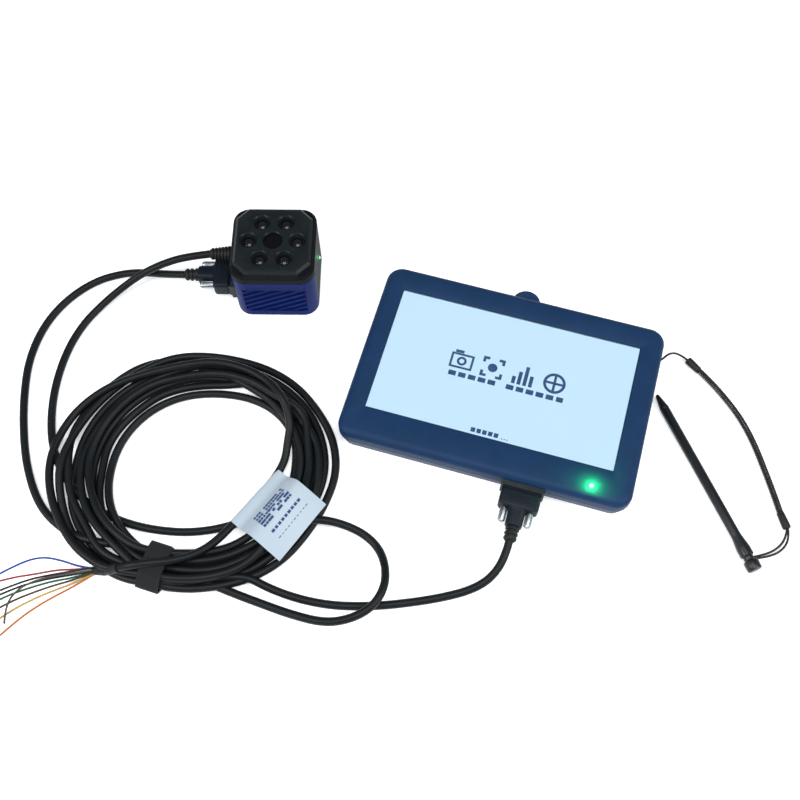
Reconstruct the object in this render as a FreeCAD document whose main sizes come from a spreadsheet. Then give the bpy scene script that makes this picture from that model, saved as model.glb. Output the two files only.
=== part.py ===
# Machine vision camera kit: a lit camera head, its touch display with a stylus, and the two
# cables between them, one of them ending in bare wires. Millimetres, +Z up. The head stands on
# its rear face at the origin and looks along +Z, and the display lies beside it.
import FreeCAD
import Part
import math
import os
import re

SIZES = {
    # Head housing
    "head_width": 53.5,
    "head_corner": 10.0,
    "back_height": 38.4,
    "back_floor": 6.0,
    "back_wall": 4.5,
    "cavity_corner": 9.0,
    "seal_height": 0.6,
    "seal_inset": 0.7,
    "cover_height": 6.0,
    "cover_roof": 2.4,
    "cover_bevel": 1.4,
    "cheek_width": 34.0,
    "cheek_depth": 2.0,
    "cheek_foot": 5.0,
    "fit_gap": 0.1,
    "rib_panel_length": 40.0,
    "rib_panel_height": 25.0,
    "rib_panel_depth": 1.2,
    "rib_panel_base": 6.0,
    "rib_width": 1.3,
    "rib_pitch": 5.2,
    "rib_lean": 27.0,
    "rib_stand": 0.9,
    # Front plate, lights and lens
    "plate_inset": 2.25,
    "plate_cut": 7.8,
    "plate_height": 3.6,
    "plate_bevel": 1.5,
    "light_circle": 15.4,
    "well_radius": 5.0,
    "well_mouth": 0.8,
    "light_lens_radius": 4.3,
    "light_lens_dome": 5.5,
    "light_lens_sink": 1.6,
    "light_chip_width": 3.4,
    "light_chip_height": 0.8,
    "light_chip_room": 2.7,
    "window_radius": 5.9,
    "window_height": 1.0,
    "window_ledge": 0.7,
    "lens_radius": 6.0,
    "lens_length": 12.0,
    "lens_glass_radius": 4.6,
    "lens_glass_height": 2.0,
    "lens_gap": 1.2,
    "lens_running_gap": 0.05,
    "holder_wall": 1.5,
    "holder_foot": 18.0,
    "holder_foot_height": 3.0,
    # Boards inside the head
    "board_height": 1.6,
    "board_room": 1.25,
    "board_corner": 6.0,
    "processor_level": 9.0,
    "sensor_level": 15.0,
    "light_board_drop": 0.8,
    "sensor_width": 8.0,
    "sensor_height": 1.0,
    "post_radius": 1.9,
    "post_inset": 5.5,
    "post_gap": 0.05,
    "head_screw_inset": 5.45,
    "head_screw_radius": 1.25,
    "head_screw_head": 2.3,
    "head_screw_sink": 2.6,
    "head_screw_head_height": 2.0,
    "head_screw_tip_room": 2.0,
    "mount_hole_spread": 15.0,
    "mount_hole_radius": 1.25,
    "mount_hole_depth": 5.0,
    "status_radius": 1.3,
    "status_offset": 9.0,
    "status_level": 15.0,
    "status_stand": 0.3,
    # Connectors on both units
    "plug_level": 14.0,
    "plug_offset": -4.5,
    "socket_width": 26.5,
    "socket_height": 13.0,
    "socket_stand": 3.0,
    "socket_body_width": 22.4,
    "socket_body_height": 9.0,
    "socket_body_depth": 5.5,
    "socket_mouth_width": 11.0,
    "socket_mouth_height": 4.6,
    "plug_shell_width": 24.0,
    "plug_shell_height": 11.0,
    "plug_shell_depth": 1.6,
    "plug_tongue_depth": 4.5,
    "plug_tongue_gap": 0.15,
    "hood_width": 24.4,
    "hood_height": 12.0,
    "hood_depth": 10.0,
    "hood_corner": 2.0,
    "hood_neck_width": 10.2,
    "hood_neck_height": 10.4,
    "hood_neck_depth": 11.0,
    "relief_radius": 3.4,
    "relief_ring_radius": 4.3,
    "relief_length": 8.8,
    "relief_ring_width": 1.7,
    "screw_spacing": 15.6,
    "screw_shank_radius": 1.3,
    "screw_running_gap": 0.05,
    "screw_knob_radius": 2.2,
    "screw_knob_length": 9.0,
    "screw_knob_gap": 0.3,
    "screw_knob_bevel": 0.4,
    "screw_reach": 3.5,
    "gland_offset": 3.0,
    "gland_level": 27.5,
    "gland_length": 16.0,
    "gland_root_radius": 5.2,
    "gland_tip_radius": 3.8,
    "gland_ring_stand": 0.9,
    "gland_ring_width": 1.7,
    "gland_collar": 6.5,
    "gland_collar_width": 1.5,
    "gland_stem": 3.0,
    # Display unit
    "display_x": 145.8,
    "display_y": -83.5,
    "display_turn": -15.5,
    "display_width": 182.0,
    "display_depth": 124.0,
    "display_corner": 10.0,
    "shell_height": 17.6,
    "shell_wall": 2.5,
    "shell_taper": 3.0,
    "shell_taper_rise": 12.0,
    "bezel_height": 4.4,
    "bezel_slope": 3.6,
    "bezel_slope_drop": 3.8,
    "bezel_lip": 1.2,
    "screen_width": 154.2,
    "screen_depth": 86.0,
    "screen_x": -0.5,
    "screen_y": 2.4,
    "touch_margin": 3.5,
    "touch_height": 1.2,
    "lcd_margin": 2.5,
    "lcd_height": 5.0,
    "lcd_post_radius": 3.0,
    "lcd_post_x": 74.0,
    "lcd_post_y": 38.0,
    "board_x": 50.0,
    "board_y": 25.0,
    "display_board_length": 116.0,
    "display_board_width": 64.0,
    "display_board_level": 9.0,
    "display_post_radius": 3.0,
    "shell_screw_inset": 9.0,
    "shell_boss_radius": 3.4,
    "shell_screw_radius": 1.4,
    "shell_screw_head": 2.6,
    "shell_screw_head_height": 1.8,
    "shell_screw_sink": 1.0,
    "shell_screw_end": 1.2,
    "lug_radius": 9.0,
    "lug_reach": 2.0,
    "lug_base": 6.0,
    "lug_height": 4.5,
    "lug_hole_radius": 2.25,
    "lug_hole_reach": 3.6,
    "lug_foot_width": 25.0,
    "lug_foot_depth": 3.0,
    "display_light_side": 25.0,
    "display_light_front": 8.5,
    "display_light_radius": 1.5,
    "display_light_flange": 2.4,
    "display_light_flange_height": 1.0,
    "display_light_stand": 0.4,
    "display_plug_x": 27.5,
    "display_plug_level": 11.0,
    "tether_hole_y": 40.3,
    "tether_hole_radius": 1.2,
    "tether_hole_level": 14.0,
    # Cables and what is on them
    "cable_diameter": 5.0,
    "coil_x": -43.0,
    "coil_y": -134.0,
    "coil_major": 86.0,
    "coil_minor": 78.0,
    "coil_hole_x": -40.5,
    "coil_hole_y": -141.5,
    "coil_hole_radius": 51.5,
    "coil_base": 0.8,
    "coil_height": 13.2,
    "coil_bevel": 4.0,
    "strap_x": -59.8,
    "strap_y": -200.0,
    "strap_turn": -17.4,
    "strap_width": 14.0,
    "strap_depth": 23.0,
    "strap_thickness": 0.8,
    "label_x": 10.6,
    "label_y": -169.2,
    "label_turn": -37.4,
    "label_length": 38.6,
    "label_width": 42.0,
    "label_thickness": 0.5,
    "sleeve_root_radius": 3.1,
    "sleeve_tip_radius": 2.6,
    "wire_diameter": 1.2,
    # Stylus and tether
    "stylus_gap": 3.54,
    "stylus_tip_y": 25.8,
    "stylus_tip_level": 3.0,
    "stylus_turn": -52.1,
    "stylus_tilt": 90.7,
    "stylus_point_radius": 0.7,
    "stylus_point_length": 10.3,
    "stylus_radius": 3.0,
    "stylus_shaft_length": 90.0,
    "stylus_flare_radius": 4.1,
    "stylus_flare_length": 9.0,
    "stylus_body_length": 4.5,
    "stylus_waist_length": 3.0,
    "stylus_cap_radius": 4.4,
    "stylus_cap_length": 6.6,
    "tether_diameter": 1.4,
    "tether_coil_diameter": 4.0,
    "ferrule_radius": 2.5,
}

doc = FreeCAD.newDocument("vision_camera_kit")
sheet = doc.addObject("Spreadsheet::Sheet", "sizes")
for row, (alias, number) in enumerate(SIZES.items(), start=1):
    sheet.set("A%d" % row, alias)
    sheet.set("B%d" % row, str(number))
    sheet.setAlias("B%d" % row, alias)
doc.recompute()

parts = {}


def formula(text):
    """Write a formula so that each size in it is read from the sheet."""
    def cell(found):
        word = found.group()
        return "sizes." + word if word in SIZES else word
    return re.sub(r"[a-z_]+", cell, str(text))


def bind(feature, **formulas):
    for name, text in formulas.items():
        feature.setExpression(name, formula(text))
    return feature


class Frame:
    """A local origin, as formulas, with a turn about Z in degrees."""

    def __init__(self, x="0", y="0", z="0", turn="0"):
        self.x, self.y, self.z, self.turn = x, y, z, turn

    def point(self, x, y, z):
        along = "(%s) + (%s) * cos(%s) - (%s) * sin(%s)" % (self.x, x, self.turn, y, self.turn)
        across = "(%s) + (%s) * sin(%s) + (%s) * cos(%s)" % (self.y, x, self.turn, y, self.turn)
        return along, across, "(%s) + (%s)" % (self.z, z)

    def inside(self, x, y, z, turn="0"):
        return Frame(*self.point(x, y, z), turn="%s + %s" % (self.turn, turn))


HEAD_SCREW_SPREAD = "head_width / 2 - head_screw_inset"
SHELL_SCREW_X = "display_width / 2 - shell_screw_inset"
SHELL_SCREW_Y = "display_depth / 2 - shell_screw_inset"
DISPLAY_LIGHT_X = "display_width / 2 - display_light_side"
DISPLAY_LIGHT_Y = "display_light_front - display_depth / 2"
HEAD = Frame()
DISPLAY = Frame("display_x", "display_y", "0", "display_turn")
HEAD_PLUG = HEAD.inside("-head_width / 2", "plug_offset", "plug_level", "180")
DISPLAY_PLUG = DISPLAY.inside("display_plug_x", "-display_depth / 2", "display_plug_level", "-90")


def place(feature, frame, x, y, z, pitch="0", roll="0"):
    spot = "create(<<vector>>; %s; %s; %s)" % frame.point(x, y, z)
    turned = "create(<<rotation>>; %s; %s; %s)" % (frame.turn, pitch, roll)
    text = "create(<<placement>>; %s; %s)" % (spot, turned)
    feature.setExpression("Placement", formula(text))
    return feature


def block(name, frame, length, width, height, x="0", y="0", z="0"):
    """A box centred on x and y that stands on z."""
    box = bind(doc.addObject("Part::Box", name), Length=length, Width=width, Height=height)
    return place(box, frame, "%s - (%s) / 2" % (x, length), "%s - (%s) / 2" % (y, width), z)


AXES = {"z": ("0", "0"), "x": ("90", "0"), "y": ("0", "-90")}


def rod(name, frame, radius, height, x="0", y="0", z="0", axis="z"):
    """A cylinder that starts at the point and runs along the frame's axis."""
    cylinder = bind(doc.addObject("Part::Cylinder", name), Radius=radius, Height=height)
    return place(cylinder, frame, x, y, z, *AXES[axis])


def taper(name, frame, start, end, height, x="0", y="0", z="0", axis="z"):
    cone = bind(doc.addObject("Part::Cone", name), Radius1=start, Radius2=end, Height=height)
    return place(cone, frame, x, y, z, *AXES[axis])


def ball(name, frame, radius, x, y, z):
    return place(bind(doc.addObject("Part::Sphere", name), Radius=radius), frame, x, y, z)


def edges_where(shape, test):
    return ["Edge%d" % count for count, edge in enumerate(shape.Edges, start=1) if test(edge)]


def is_upright(edge):
    rise = edge.BoundBox.ZLength
    return rise > 1e-6 and edge.BoundBox.XLength < 1e-6 and edge.BoundBox.YLength < 1e-6


def is_level_at(height):
    return lambda edge: abs(edge.BoundBox.ZMin - height) < 1e-6 and edge.BoundBox.ZLength < 1e-6


def rounded_block(name, frame, length, width, height, corner, x="0", y="0", z="0",
                  cut_corner=False, top=None, bottom=None):
    """A slab with round or cut corners; top and bottom are slopes as (inset, drop)."""
    body = doc.addObject("PartDesign::Body", name)
    slab = body.newObject("PartDesign::AdditiveBox", name + "_slab")
    bind(slab, Length=length, Width=width, Height=height)
    slab.setExpression("Placement.Base.x", formula("-(%s) / 2" % length))
    slab.setExpression("Placement.Base.y", formula("-(%s) / 2" % width))
    doc.recompute()
    if cut_corner:
        corners = body.newObject("PartDesign::Chamfer", name + "_corners")
        corners.Base = (slab, edges_where(slab.Shape, is_upright))
        bind(corners, Size=corner)
    else:
        corners = body.newObject("PartDesign::Fillet", name + "_corners")
        corners.Base = (slab, edges_where(slab.Shape, is_upright))
        bind(corners, Radius=corner)
    body.Tip = corners
    doc.recompute()
    tall = slab.Height.Value
    for label, slope, level in (("top", top, tall), ("bottom", bottom, 0.0)):
        if slope is None:
            continue
        last = body.Tip
        chamfer = body.newObject("PartDesign::Chamfer", name + "_" + label)
        chamfer.Base = (last, edges_where(last.Shape, is_level_at(level)))
        chamfer.ChamferType = "Two distances"
        bind(chamfer, Size=slope[0], Size2=slope[1])
        body.Tip = chamfer
        doc.recompute()
        inset = (last.Shape.BoundBox.XLength - level_face(chamfer.Shape, level).XLength) / 2
        if abs(inset - chamfer.Size.Value) > 1e-6:
            chamfer.FlipDirection = True
            doc.recompute()
    return place(body, frame, x, y, z)


def level_face(shape, height):
    """The box round the flat face at this height."""
    for face in shape.Faces:
        if face.BoundBox.ZLength < 1e-6 and abs(face.BoundBox.ZMin - height) < 1e-6:
            return face.BoundBox
    return shape.BoundBox


def fuse(name, *solids):
    joined = doc.addObject("Part::MultiFuse", name)
    joined.Shapes = list(solids)
    return joined


def group(name, *solids):
    together = doc.addObject("Part::Compound", name)
    together.Links = list(solids)
    return together


def cut(name, base, *tools):
    result = doc.addObject("Part::Cut", name)
    result.Base = base
    result.Tool = tools[0] if len(tools) == 1 else fuse(name + "_tools", *tools)
    return result


def common(name, first, second):
    result = doc.addObject("Part::Common", name)
    result.Base = first
    result.Tool = second
    return result


def node(name, feature):
    feature.Label = name
    parts[name] = feature
    return feature


def corners_of(spread_x, spread_y=None):
    """Four places, one in each quarter, as formulas."""
    spread_y = spread_y or spread_x
    return [("%s(%s)" % (a, spread_x), "%s(%s)" % (b, spread_y)) for a in "+-" for b in "+-"]


def light_places():
    """The six lights stand on a circle, a sixth of a turn apart."""
    return [("light_circle * cos(%d)" % turn, "light_circle * sin(%d)" % turn)
            for turn in range(0, 360, 60)]


SEAL_LEVEL = "back_height"
COVER_LEVEL = "back_height + seal_height"
PLATE_LEVEL = COVER_LEVEL + " + cover_height"
FRONT_LEVEL = PLATE_LEVEL + " + plate_height"
CAVITY_WIDTH = "head_width - 2 * back_wall"
BOARD_WIDTH = CAVITY_WIDTH + " - 2 * board_room"
POST_SPREAD = "(%s) / 2 - post_inset" % BOARD_WIDTH
PLATE_WIDTH = "head_width - 2 * plate_inset"
LIGHT_BOARD_LEVEL = "back_height - light_board_drop - board_height"
LIGHT_LENS_FOOT = "back_height - light_board_drop"
LENS_TOP = PLATE_LEVEL + " - lens_gap"
HOLDER_BORE = "lens_radius + lens_running_gap"


# Head housing

def rib_panel(name, side):
    """The leaning ribs in the sunk panel of the near or far wall; side is -1 or 1."""
    depth = "rib_panel_depth"
    wall = "%d * (head_width / 2 - rib_panel_depth)" % side
    window = block(name + "_window", HEAD, "rib_panel_length", "2 * rib_stand", "rib_panel_height",
                   "0", wall, "rib_panel_base")
    count = 10
    bars = []
    for index in range(count):
        bar = bind(doc.addObject("Part::Box", "%s_bar_%d" % (name, index)),
                   Length="rib_panel_length * 1.6", Width="2 * rib_stand", Height="rib_width")
        shift = "(%d - %f) * rib_pitch" % (index, (count - 1) / 2)
        lean = "(%d) * rib_lean" % side
        reach = "rib_panel_length * 0.8"
        place(bar, HEAD, "-(%s) * cos(rib_lean)" % reach, "%s - rib_stand" % wall,
              "rib_panel_base + rib_panel_height / 2 + %s + %d * (%s) * sin(rib_lean)"
              % (shift, side, reach), lean, "0")
        bars.append(bar)
    return common(name, window, fuse(name + "_bars", *bars))


def heat_sink_base():
    outer = rounded_block("back_outer", HEAD, "head_width", "head_width", "back_height",
                          "head_corner", bottom=("0.8", "0.8"))
    cavity = rounded_block("back_cavity", HEAD, CAVITY_WIDTH, CAVITY_WIDTH, "back_height",
                           "cavity_corner", z="back_floor")
    tools = [cavity]
    for side in (-1, 1):
        middle = "%d * (head_width / 2)" % side
        tools.append(block("cheek_recess", HEAD, "2 * cheek_depth", "cheek_width + 2 * fit_gap",
                           "back_height", middle, "0", "cheek_foot - fit_gap"))
        tools.append(block("rib_recess", HEAD, "rib_panel_length", "2 * rib_panel_depth",
                           "rib_panel_height", "0", middle, "rib_panel_base"))
    for x, y in corners_of(HEAD_SCREW_SPREAD):
        tools.append(rod("back_screw_hole", HEAD, "head_screw_radius + post_gap",
                         "back_height", x, y, "0"))
        tools.append(rod("back_screw_seat", HEAD, "head_screw_head + fit_gap",
                         "head_screw_sink", x, y, "0"))
    for x, y in corners_of("mount_hole_spread"):
        tools.append(rod("mount_hole", HEAD, "mount_hole_radius", "mount_hole_depth", x, y, "0"))
    tools.append(plug_wall_opening("back_plug_opening", HEAD_PLUG))
    tools.append(rod("back_gland_opening", HEAD, "gland_stem", "head_width / 2",
                     "-head_width / 2", "gland_offset", "gland_level", "x"))
    tools.append(rod("back_status_opening", HEAD, "status_radius + post_gap",
                     "2 * back_wall", "head_width / 2 - 2 * back_wall", "status_offset",
                     "status_level", "x"))
    shell = cut("back_shell", outer, *tools)
    return node("heat_sink_base",
                fuse("back_with_ribs", shell, rib_panel("near_ribs", -1), rib_panel("far_ribs", 1)))


def head_seal():
    outer = rounded_block("seal_outer", HEAD, "head_width - 2 * seal_inset",
                          "head_width - 2 * seal_inset", "seal_height",
                          "head_corner - seal_inset", z=SEAL_LEVEL)
    tools = [rounded_block("seal_hole", HEAD, CAVITY_WIDTH, CAVITY_WIDTH, "seal_height",
                           "cavity_corner", z=SEAL_LEVEL)]
    for x, y in corners_of(HEAD_SCREW_SPREAD):
        tools.append(rod("seal_screw_hole", HEAD, "head_screw_radius + post_gap",
                         "seal_height", x, y, SEAL_LEVEL))
    for side in (-1, 1):
        tools.append(block("seal_cheek_gap", HEAD, "2 * cheek_depth", "cheek_width + 2 * fit_gap",
                           "seal_height", "%d * head_width / 2" % side, "0", SEAL_LEVEL))
    return node("head_seal", cut("seal_ring", outer, *tools))


def head_housing():
    outer = rounded_block("cover_outer", HEAD, "head_width", "head_width", "cover_height",
                          "head_corner", z=COVER_LEVEL, top=("cover_bevel", "cover_bevel"))
    cheeks = []
    for side in (-1, 1):
        middle = "%d * (head_width / 2 - cheek_depth / 2)" % side
        cheeks.append(block("cheek", HEAD, "cheek_depth", "cheek_width",
                            COVER_LEVEL + " - cheek_foot + cover_bevel", middle, "0", "cheek_foot"))
    tools = [rounded_block("cover_cavity", HEAD, CAVITY_WIDTH, CAVITY_WIDTH,
                           "cover_height - cover_roof", "cavity_corner", z=COVER_LEVEL)]
    for x, y in light_places():
        tools.append(rod("cover_light_hole", HEAD, "light_lens_radius + fit_gap",
                         "cover_height", x, y, COVER_LEVEL))
    tools.append(rod("cover_lens_hole", HEAD, "lens_radius + holder_wall + fit_gap",
                     "cover_height", "0", "0", COVER_LEVEL))
    for x, y in corners_of(HEAD_SCREW_SPREAD):
        tools.append(rod("cover_screw_hole", HEAD, "head_screw_radius + post_gap",
                         "cover_height - head_screw_tip_room + 0.2", x, y, COVER_LEVEL))
    tools.append(plug_wall_opening("cheek_plug_opening", HEAD_PLUG))
    tools.append(rod("cheek_gland_opening", HEAD, "gland_stem", "back_wall",
                     "-head_width / 2", "gland_offset", "gland_level", "x"))
    tools.append(rod("cheek_status_opening", HEAD, "status_radius + post_gap", "back_wall",
                     "head_width / 2 - back_wall", "status_offset", "status_level", "x"))
    return node("head_housing", cut("cover_shell", fuse("cover_body", outer, *cheeks), *tools))


def front_plate():
    slab = rounded_block("plate_slab", HEAD, PLATE_WIDTH, PLATE_WIDTH, "plate_height",
                         "plate_cut", z=PLATE_LEVEL, cut_corner=True,
                         top=("plate_bevel", "plate_bevel"))
    tools = []
    for x, y in light_places():
        tools.append(rod("well", HEAD, "well_radius", "plate_height", x, y, PLATE_LEVEL))
        tools.append(taper("well_mouth_cone", HEAD, "well_radius", "well_radius + well_mouth",
                           "well_mouth", x, y, FRONT_LEVEL + " - well_mouth"))
    tools.append(rod("lens_well", HEAD, "window_radius - window_ledge", "plate_height",
                     "0", "0", PLATE_LEVEL))
    tools.append(rod("window_seat", HEAD, "window_radius", "plate_height",
                     "0", "0", PLATE_LEVEL + " + window_ledge"))
    tools.append(taper("lens_mouth_cone", HEAD, "window_radius", "window_radius + well_mouth",
                       "well_mouth", "0", "0", FRONT_LEVEL + " - well_mouth"))
    return node("front_plate", cut("plate_with_wells", slab, *tools))


def lens_group():
    node("lens_window", rod("window_disc", HEAD, "window_radius - post_gap", "window_height",
                            "0", "0", PLATE_LEVEL + " + window_ledge"))
    foot_level = "sensor_level + board_height"
    foot = rounded_block("holder_block", HEAD, "holder_foot", "holder_foot",
                         "holder_foot_height", "1.5", z=foot_level)
    tube = rod("holder_tube", HEAD, "lens_radius + holder_wall",
               "%s - lens_length / 3 - (%s)" % (LENS_TOP, foot_level), "0", "0", foot_level)
    bore = rod("holder_bore", HEAD, HOLDER_BORE, FRONT_LEVEL, "0", "0", foot_level)
    room = block("sensor_room", HEAD, "sensor_width + 2", "sensor_width + 2", "sensor_height + 0.5",
                 "0", "0", foot_level)
    node("lens_holder", cut("holder", fuse("holder_solid", foot, tube), bore, room))
    barrel = rod("barrel_solid", HEAD, "lens_radius", "lens_length", "0", "0",
                 LENS_TOP + " - lens_length")
    hole = rod("barrel_bore", HEAD, "lens_glass_radius - 1", "lens_length", "0", "0",
               LENS_TOP + " - lens_length")
    seat = rod("glass_seat", HEAD, "lens_glass_radius", "lens_glass_height", "0", "0",
               LENS_TOP + " - lens_glass_height")
    node("lens_barrel", cut("barrel", barrel, hole, seat))
    disc = rod("glass_disc", HEAD, "lens_glass_radius", "lens_glass_height", "0", "0",
               LENS_TOP + " - lens_glass_height")
    dome = ball("glass_dome", HEAD, "lens_glass_radius * 1.6", "0", "0",
                LENS_TOP + " - lens_glass_radius * 1.6")
    node("lens_glass", common("glass", disc, dome))


def boards():
    def board(name, level, *holes):
        slab = rounded_block(name + "_slab", HEAD, BOARD_WIDTH, BOARD_WIDTH, "board_height",
                             "board_corner", z=level)
        tools = [rod(name + "_post_hole", HEAD, "post_radius + post_gap", "board_height",
                     x, y, level) for x, y in corners_of(POST_SPREAD)]
        return node(name, cut(name + "_cut", slab, *tools, *holes))

    board("processor_board", "processor_level")
    board("sensor_board", "sensor_level")
    lens_hole = rod("light_board_hole", HEAD, "lens_radius + holder_wall + fit_gap",
                    "board_height", "0", "0", LIGHT_BOARD_LEVEL)
    board("led_board", LIGHT_BOARD_LEVEL, lens_hole)
    node("image_sensor", block("sensor_chip", HEAD, "sensor_width", "sensor_width",
                               "sensor_height", "0", "0", "sensor_level + board_height"))
    posts = [rod("post", HEAD, "post_radius", LIGHT_LENS_FOOT + " - back_floor", x, y, "back_floor")
             for x, y in corners_of(POST_SPREAD)]
    node("board_posts", group("posts", *posts))
    chips = [block("light_chip", HEAD, "light_chip_width", "light_chip_width",
                   "light_chip_height", x, y, LIGHT_LENS_FOOT) for x, y in light_places()]
    node("led_chips", group("chips", *chips))
    lenses = []
    for x, y in light_places():
        top = FRONT_LEVEL + " - light_lens_sink"
        column = rod("light_lens_column", HEAD, "light_lens_radius",
                     "%s - (%s)" % (top, LIGHT_LENS_FOOT), x, y, LIGHT_LENS_FOOT)
        dome = taper("light_lens_cap", HEAD, "light_lens_dome + light_lens_radius",
                     "light_lens_radius - light_lens_dome / 3",
                     "%s - (%s)" % (top, LIGHT_LENS_FOOT), x, y, LIGHT_LENS_FOOT)
        room = rod("light_chip_pocket", HEAD, "light_chip_room", "light_chip_height + 0.3",
                   x, y, LIGHT_LENS_FOOT)
        lenses.append(cut("light_lens", common("light_lens_solid", column, dome), room))
    node("led_lenses", group("lenses", *lenses))


def head_fittings():
    screws = []
    for x, y in corners_of(HEAD_SCREW_SPREAD):
        shank = rod("head_shank", HEAD, "head_screw_radius",
                    "%s + cover_height - head_screw_tip_room - head_screw_sink" % COVER_LEVEL,
                    x, y, "head_screw_sink")
        head = rod("head_button", HEAD, "head_screw_head", "head_screw_head_height",
                   x, y, "head_screw_sink - head_screw_head_height")
        screws.append(fuse("head_screw", shank, head))
    node("head_screws", group("head_screw_set", *screws))
    node("head_status_light",
         rod("head_light_pipe", HEAD, "status_radius", "back_wall + status_stand",
             "head_width / 2 - back_wall", "status_offset", "status_level", "x"))


# Connectors: each plug's frame starts on its unit's wall and points straight out of it.

def plug_wall_opening(name, frame):
    return block(name, frame, "2 * socket_body_depth", "socket_body_width + 2 * fit_gap",
                 "socket_body_height + 2 * fit_gap", "0", "0",
                 "-socket_body_height / 2 - fit_gap")


def screw_holes(name, frame, start, length, radius):
    return [rod(name, frame, radius, length, start, "%s * screw_spacing / 2" % side, "0", "x")
            for side in ("-1", "1")]


def connector(unit, frame, screw_names):
    hole = "screw_shank_radius + screw_running_gap"
    flange = block(unit + "_socket_flange", frame, "socket_stand", "socket_width",
                   "socket_height", "socket_stand / 2", "0", "-socket_height / 2")
    inner = block(unit + "_socket_inner", frame, "socket_body_depth", "socket_body_width",
                  "socket_body_height", "-socket_body_depth / 2", "0", "-socket_body_height / 2")
    mouth = block(unit + "_socket_mouth", frame, "2 * plug_tongue_depth", "socket_mouth_width",
                  "socket_mouth_height", "socket_stand", "0", "-socket_mouth_height / 2")
    node(unit + "_socket",
         cut(unit + "_socket_cut", fuse(unit + "_socket_solid", flange, inner), mouth,
             *screw_holes(unit + "_insert", frame, "-screw_reach - 1", "screw_reach + socket_stand + 1",
                          hole)))

    shell = block(unit + "_shell_plate", frame, "plug_shell_depth", "plug_shell_width",
                  "plug_shell_height", "socket_stand + plug_shell_depth / 2", "0",
                  "-plug_shell_height / 2")
    tongue = block(unit + "_tongue", frame, "plug_tongue_depth - plug_tongue_gap",
                   "socket_mouth_width - 2 * plug_tongue_gap",
                   "socket_mouth_height - 2 * plug_tongue_gap",
                   "socket_stand - (plug_tongue_depth - plug_tongue_gap) / 2", "0",
                   "-socket_mouth_height / 2 + plug_tongue_gap")
    node(unit + "_plug_shell",
         cut(unit + "_shell_cut", fuse(unit + "_shell_solid", shell, tongue),
             *screw_holes(unit + "_shell_hole", frame, "socket_stand", "plug_shell_depth", hole)))

    hood_start = "socket_stand + plug_shell_depth"
    hood_end = hood_start + " + hood_depth"
    wide = block(unit + "_hood_wide", frame, "hood_depth", "hood_width", "hood_height",
                 "%s + hood_depth / 2" % hood_start, "0", "-hood_height / 2")
    neck = block(unit + "_hood_neck", frame, "hood_neck_depth", "hood_neck_width",
                 "hood_neck_height", "%s + hood_neck_depth / 2" % hood_end, "0",
                 "-hood_neck_height / 2")
    doc.recompute()
    softened = bevel_long_edges(unit + "_hood_soft", wide, "hood_corner")
    node(unit + "_plug_hood",
         cut(unit + "_hood_cut", fuse(unit + "_hood_solid", softened, neck),
             *screw_holes(unit + "_hood_hole", frame, hood_start, "hood_depth", hole)))

    knob_start = hood_end + " + screw_knob_gap"
    for side, name in zip(("-1", "1"), screw_names):
        across = "%s * screw_spacing / 2" % side
        shank = rod(name + "_shank", frame, "screw_shank_radius",
                    "screw_reach + %s" % knob_start, "-screw_reach", across, "0", "x")
        knob = rod(name + "_knob", frame, "screw_knob_radius",
                   "screw_knob_length - screw_knob_bevel", knob_start, across, "0", "x")
        tip = taper(name + "_knob_end", frame, "screw_knob_radius",
                    "screw_knob_radius - screw_knob_bevel", "screw_knob_bevel",
                    "%s + screw_knob_length - screw_knob_bevel" % knob_start, across, "0", "x")
        slot = block(name + "_slot", frame, "0.8", "2 * screw_knob_radius", "0.7",
                     "%s + screw_knob_length - 0.4" % knob_start, across, "-0.35")
        node(name, cut(name + "_solid", fuse(name + "_body", shank, knob, tip), slot))

    relief_start = hood_end + " + hood_neck_depth"
    rings = [rod("%s_ring_%d" % (unit, index), frame, "relief_ring_radius", "relief_ring_width",
                 "%s + %d * relief_length / 3 + 0.4" % (relief_start, index), "0", "0", "x")
             for index in range(3)]
    core = rod(unit + "_relief_core", frame, "relief_radius", "relief_length",
               relief_start, "0", "0", "x")
    node(unit + "_plug_relief", fuse(unit + "_relief", core, *rings))


def bevel_long_edges(name, box, corner):
    """Round the four edges of a box that run out from the wall."""
    smooth = doc.addObject("Part::Fillet", name)
    smooth.Base = box
    along = box.Placement.Rotation.multVec(FreeCAD.Vector(1, 0, 0))
    edges = []
    for count, edge in enumerate(box.Shape.Edges, start=1):
        run = edge.Vertexes[1].Point - edge.Vertexes[0].Point
        if abs(run.normalize() * along) > 0.99:
            edges.append((count, SIZES[corner], SIZES[corner]))
    smooth.Edges = edges
    return smooth


def gland():
    stem = rod("gland_stem_rod", HEAD, "gland_stem - fit_gap / 2", "back_wall",
               "-head_width / 2", "gland_offset", "gland_level", "x")
    left = HEAD.inside("-head_width / 2", "gland_offset", "gland_level", "180")
    collar = rod("gland_collar_disc", left, "gland_collar", "gland_collar_width",
                 "0", "0", "0", "x")
    core = taper("gland_core", left, "gland_root_radius", "gland_tip_radius", "gland_length",
                 "0", "0", "0", "x")
    rings = []
    count = 5
    for index in range(count):
        start = "gland_collar_width + 1 + %d * (gland_length - gland_collar_width - 2) / %d" \
            % (index, count)
        radius = "gland_root_radius + gland_ring_stand - %d * (gland_root_radius " \
                 "- gland_tip_radius) / %d" % (index, count)
        rings.append(rod("gland_ring_%d" % index, left, radius, "gland_ring_width",
                         start, "0", "0", "x"))
    node("io_cable_relief", fuse("gland", stem, collar, core, *rings))


# Display unit

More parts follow.
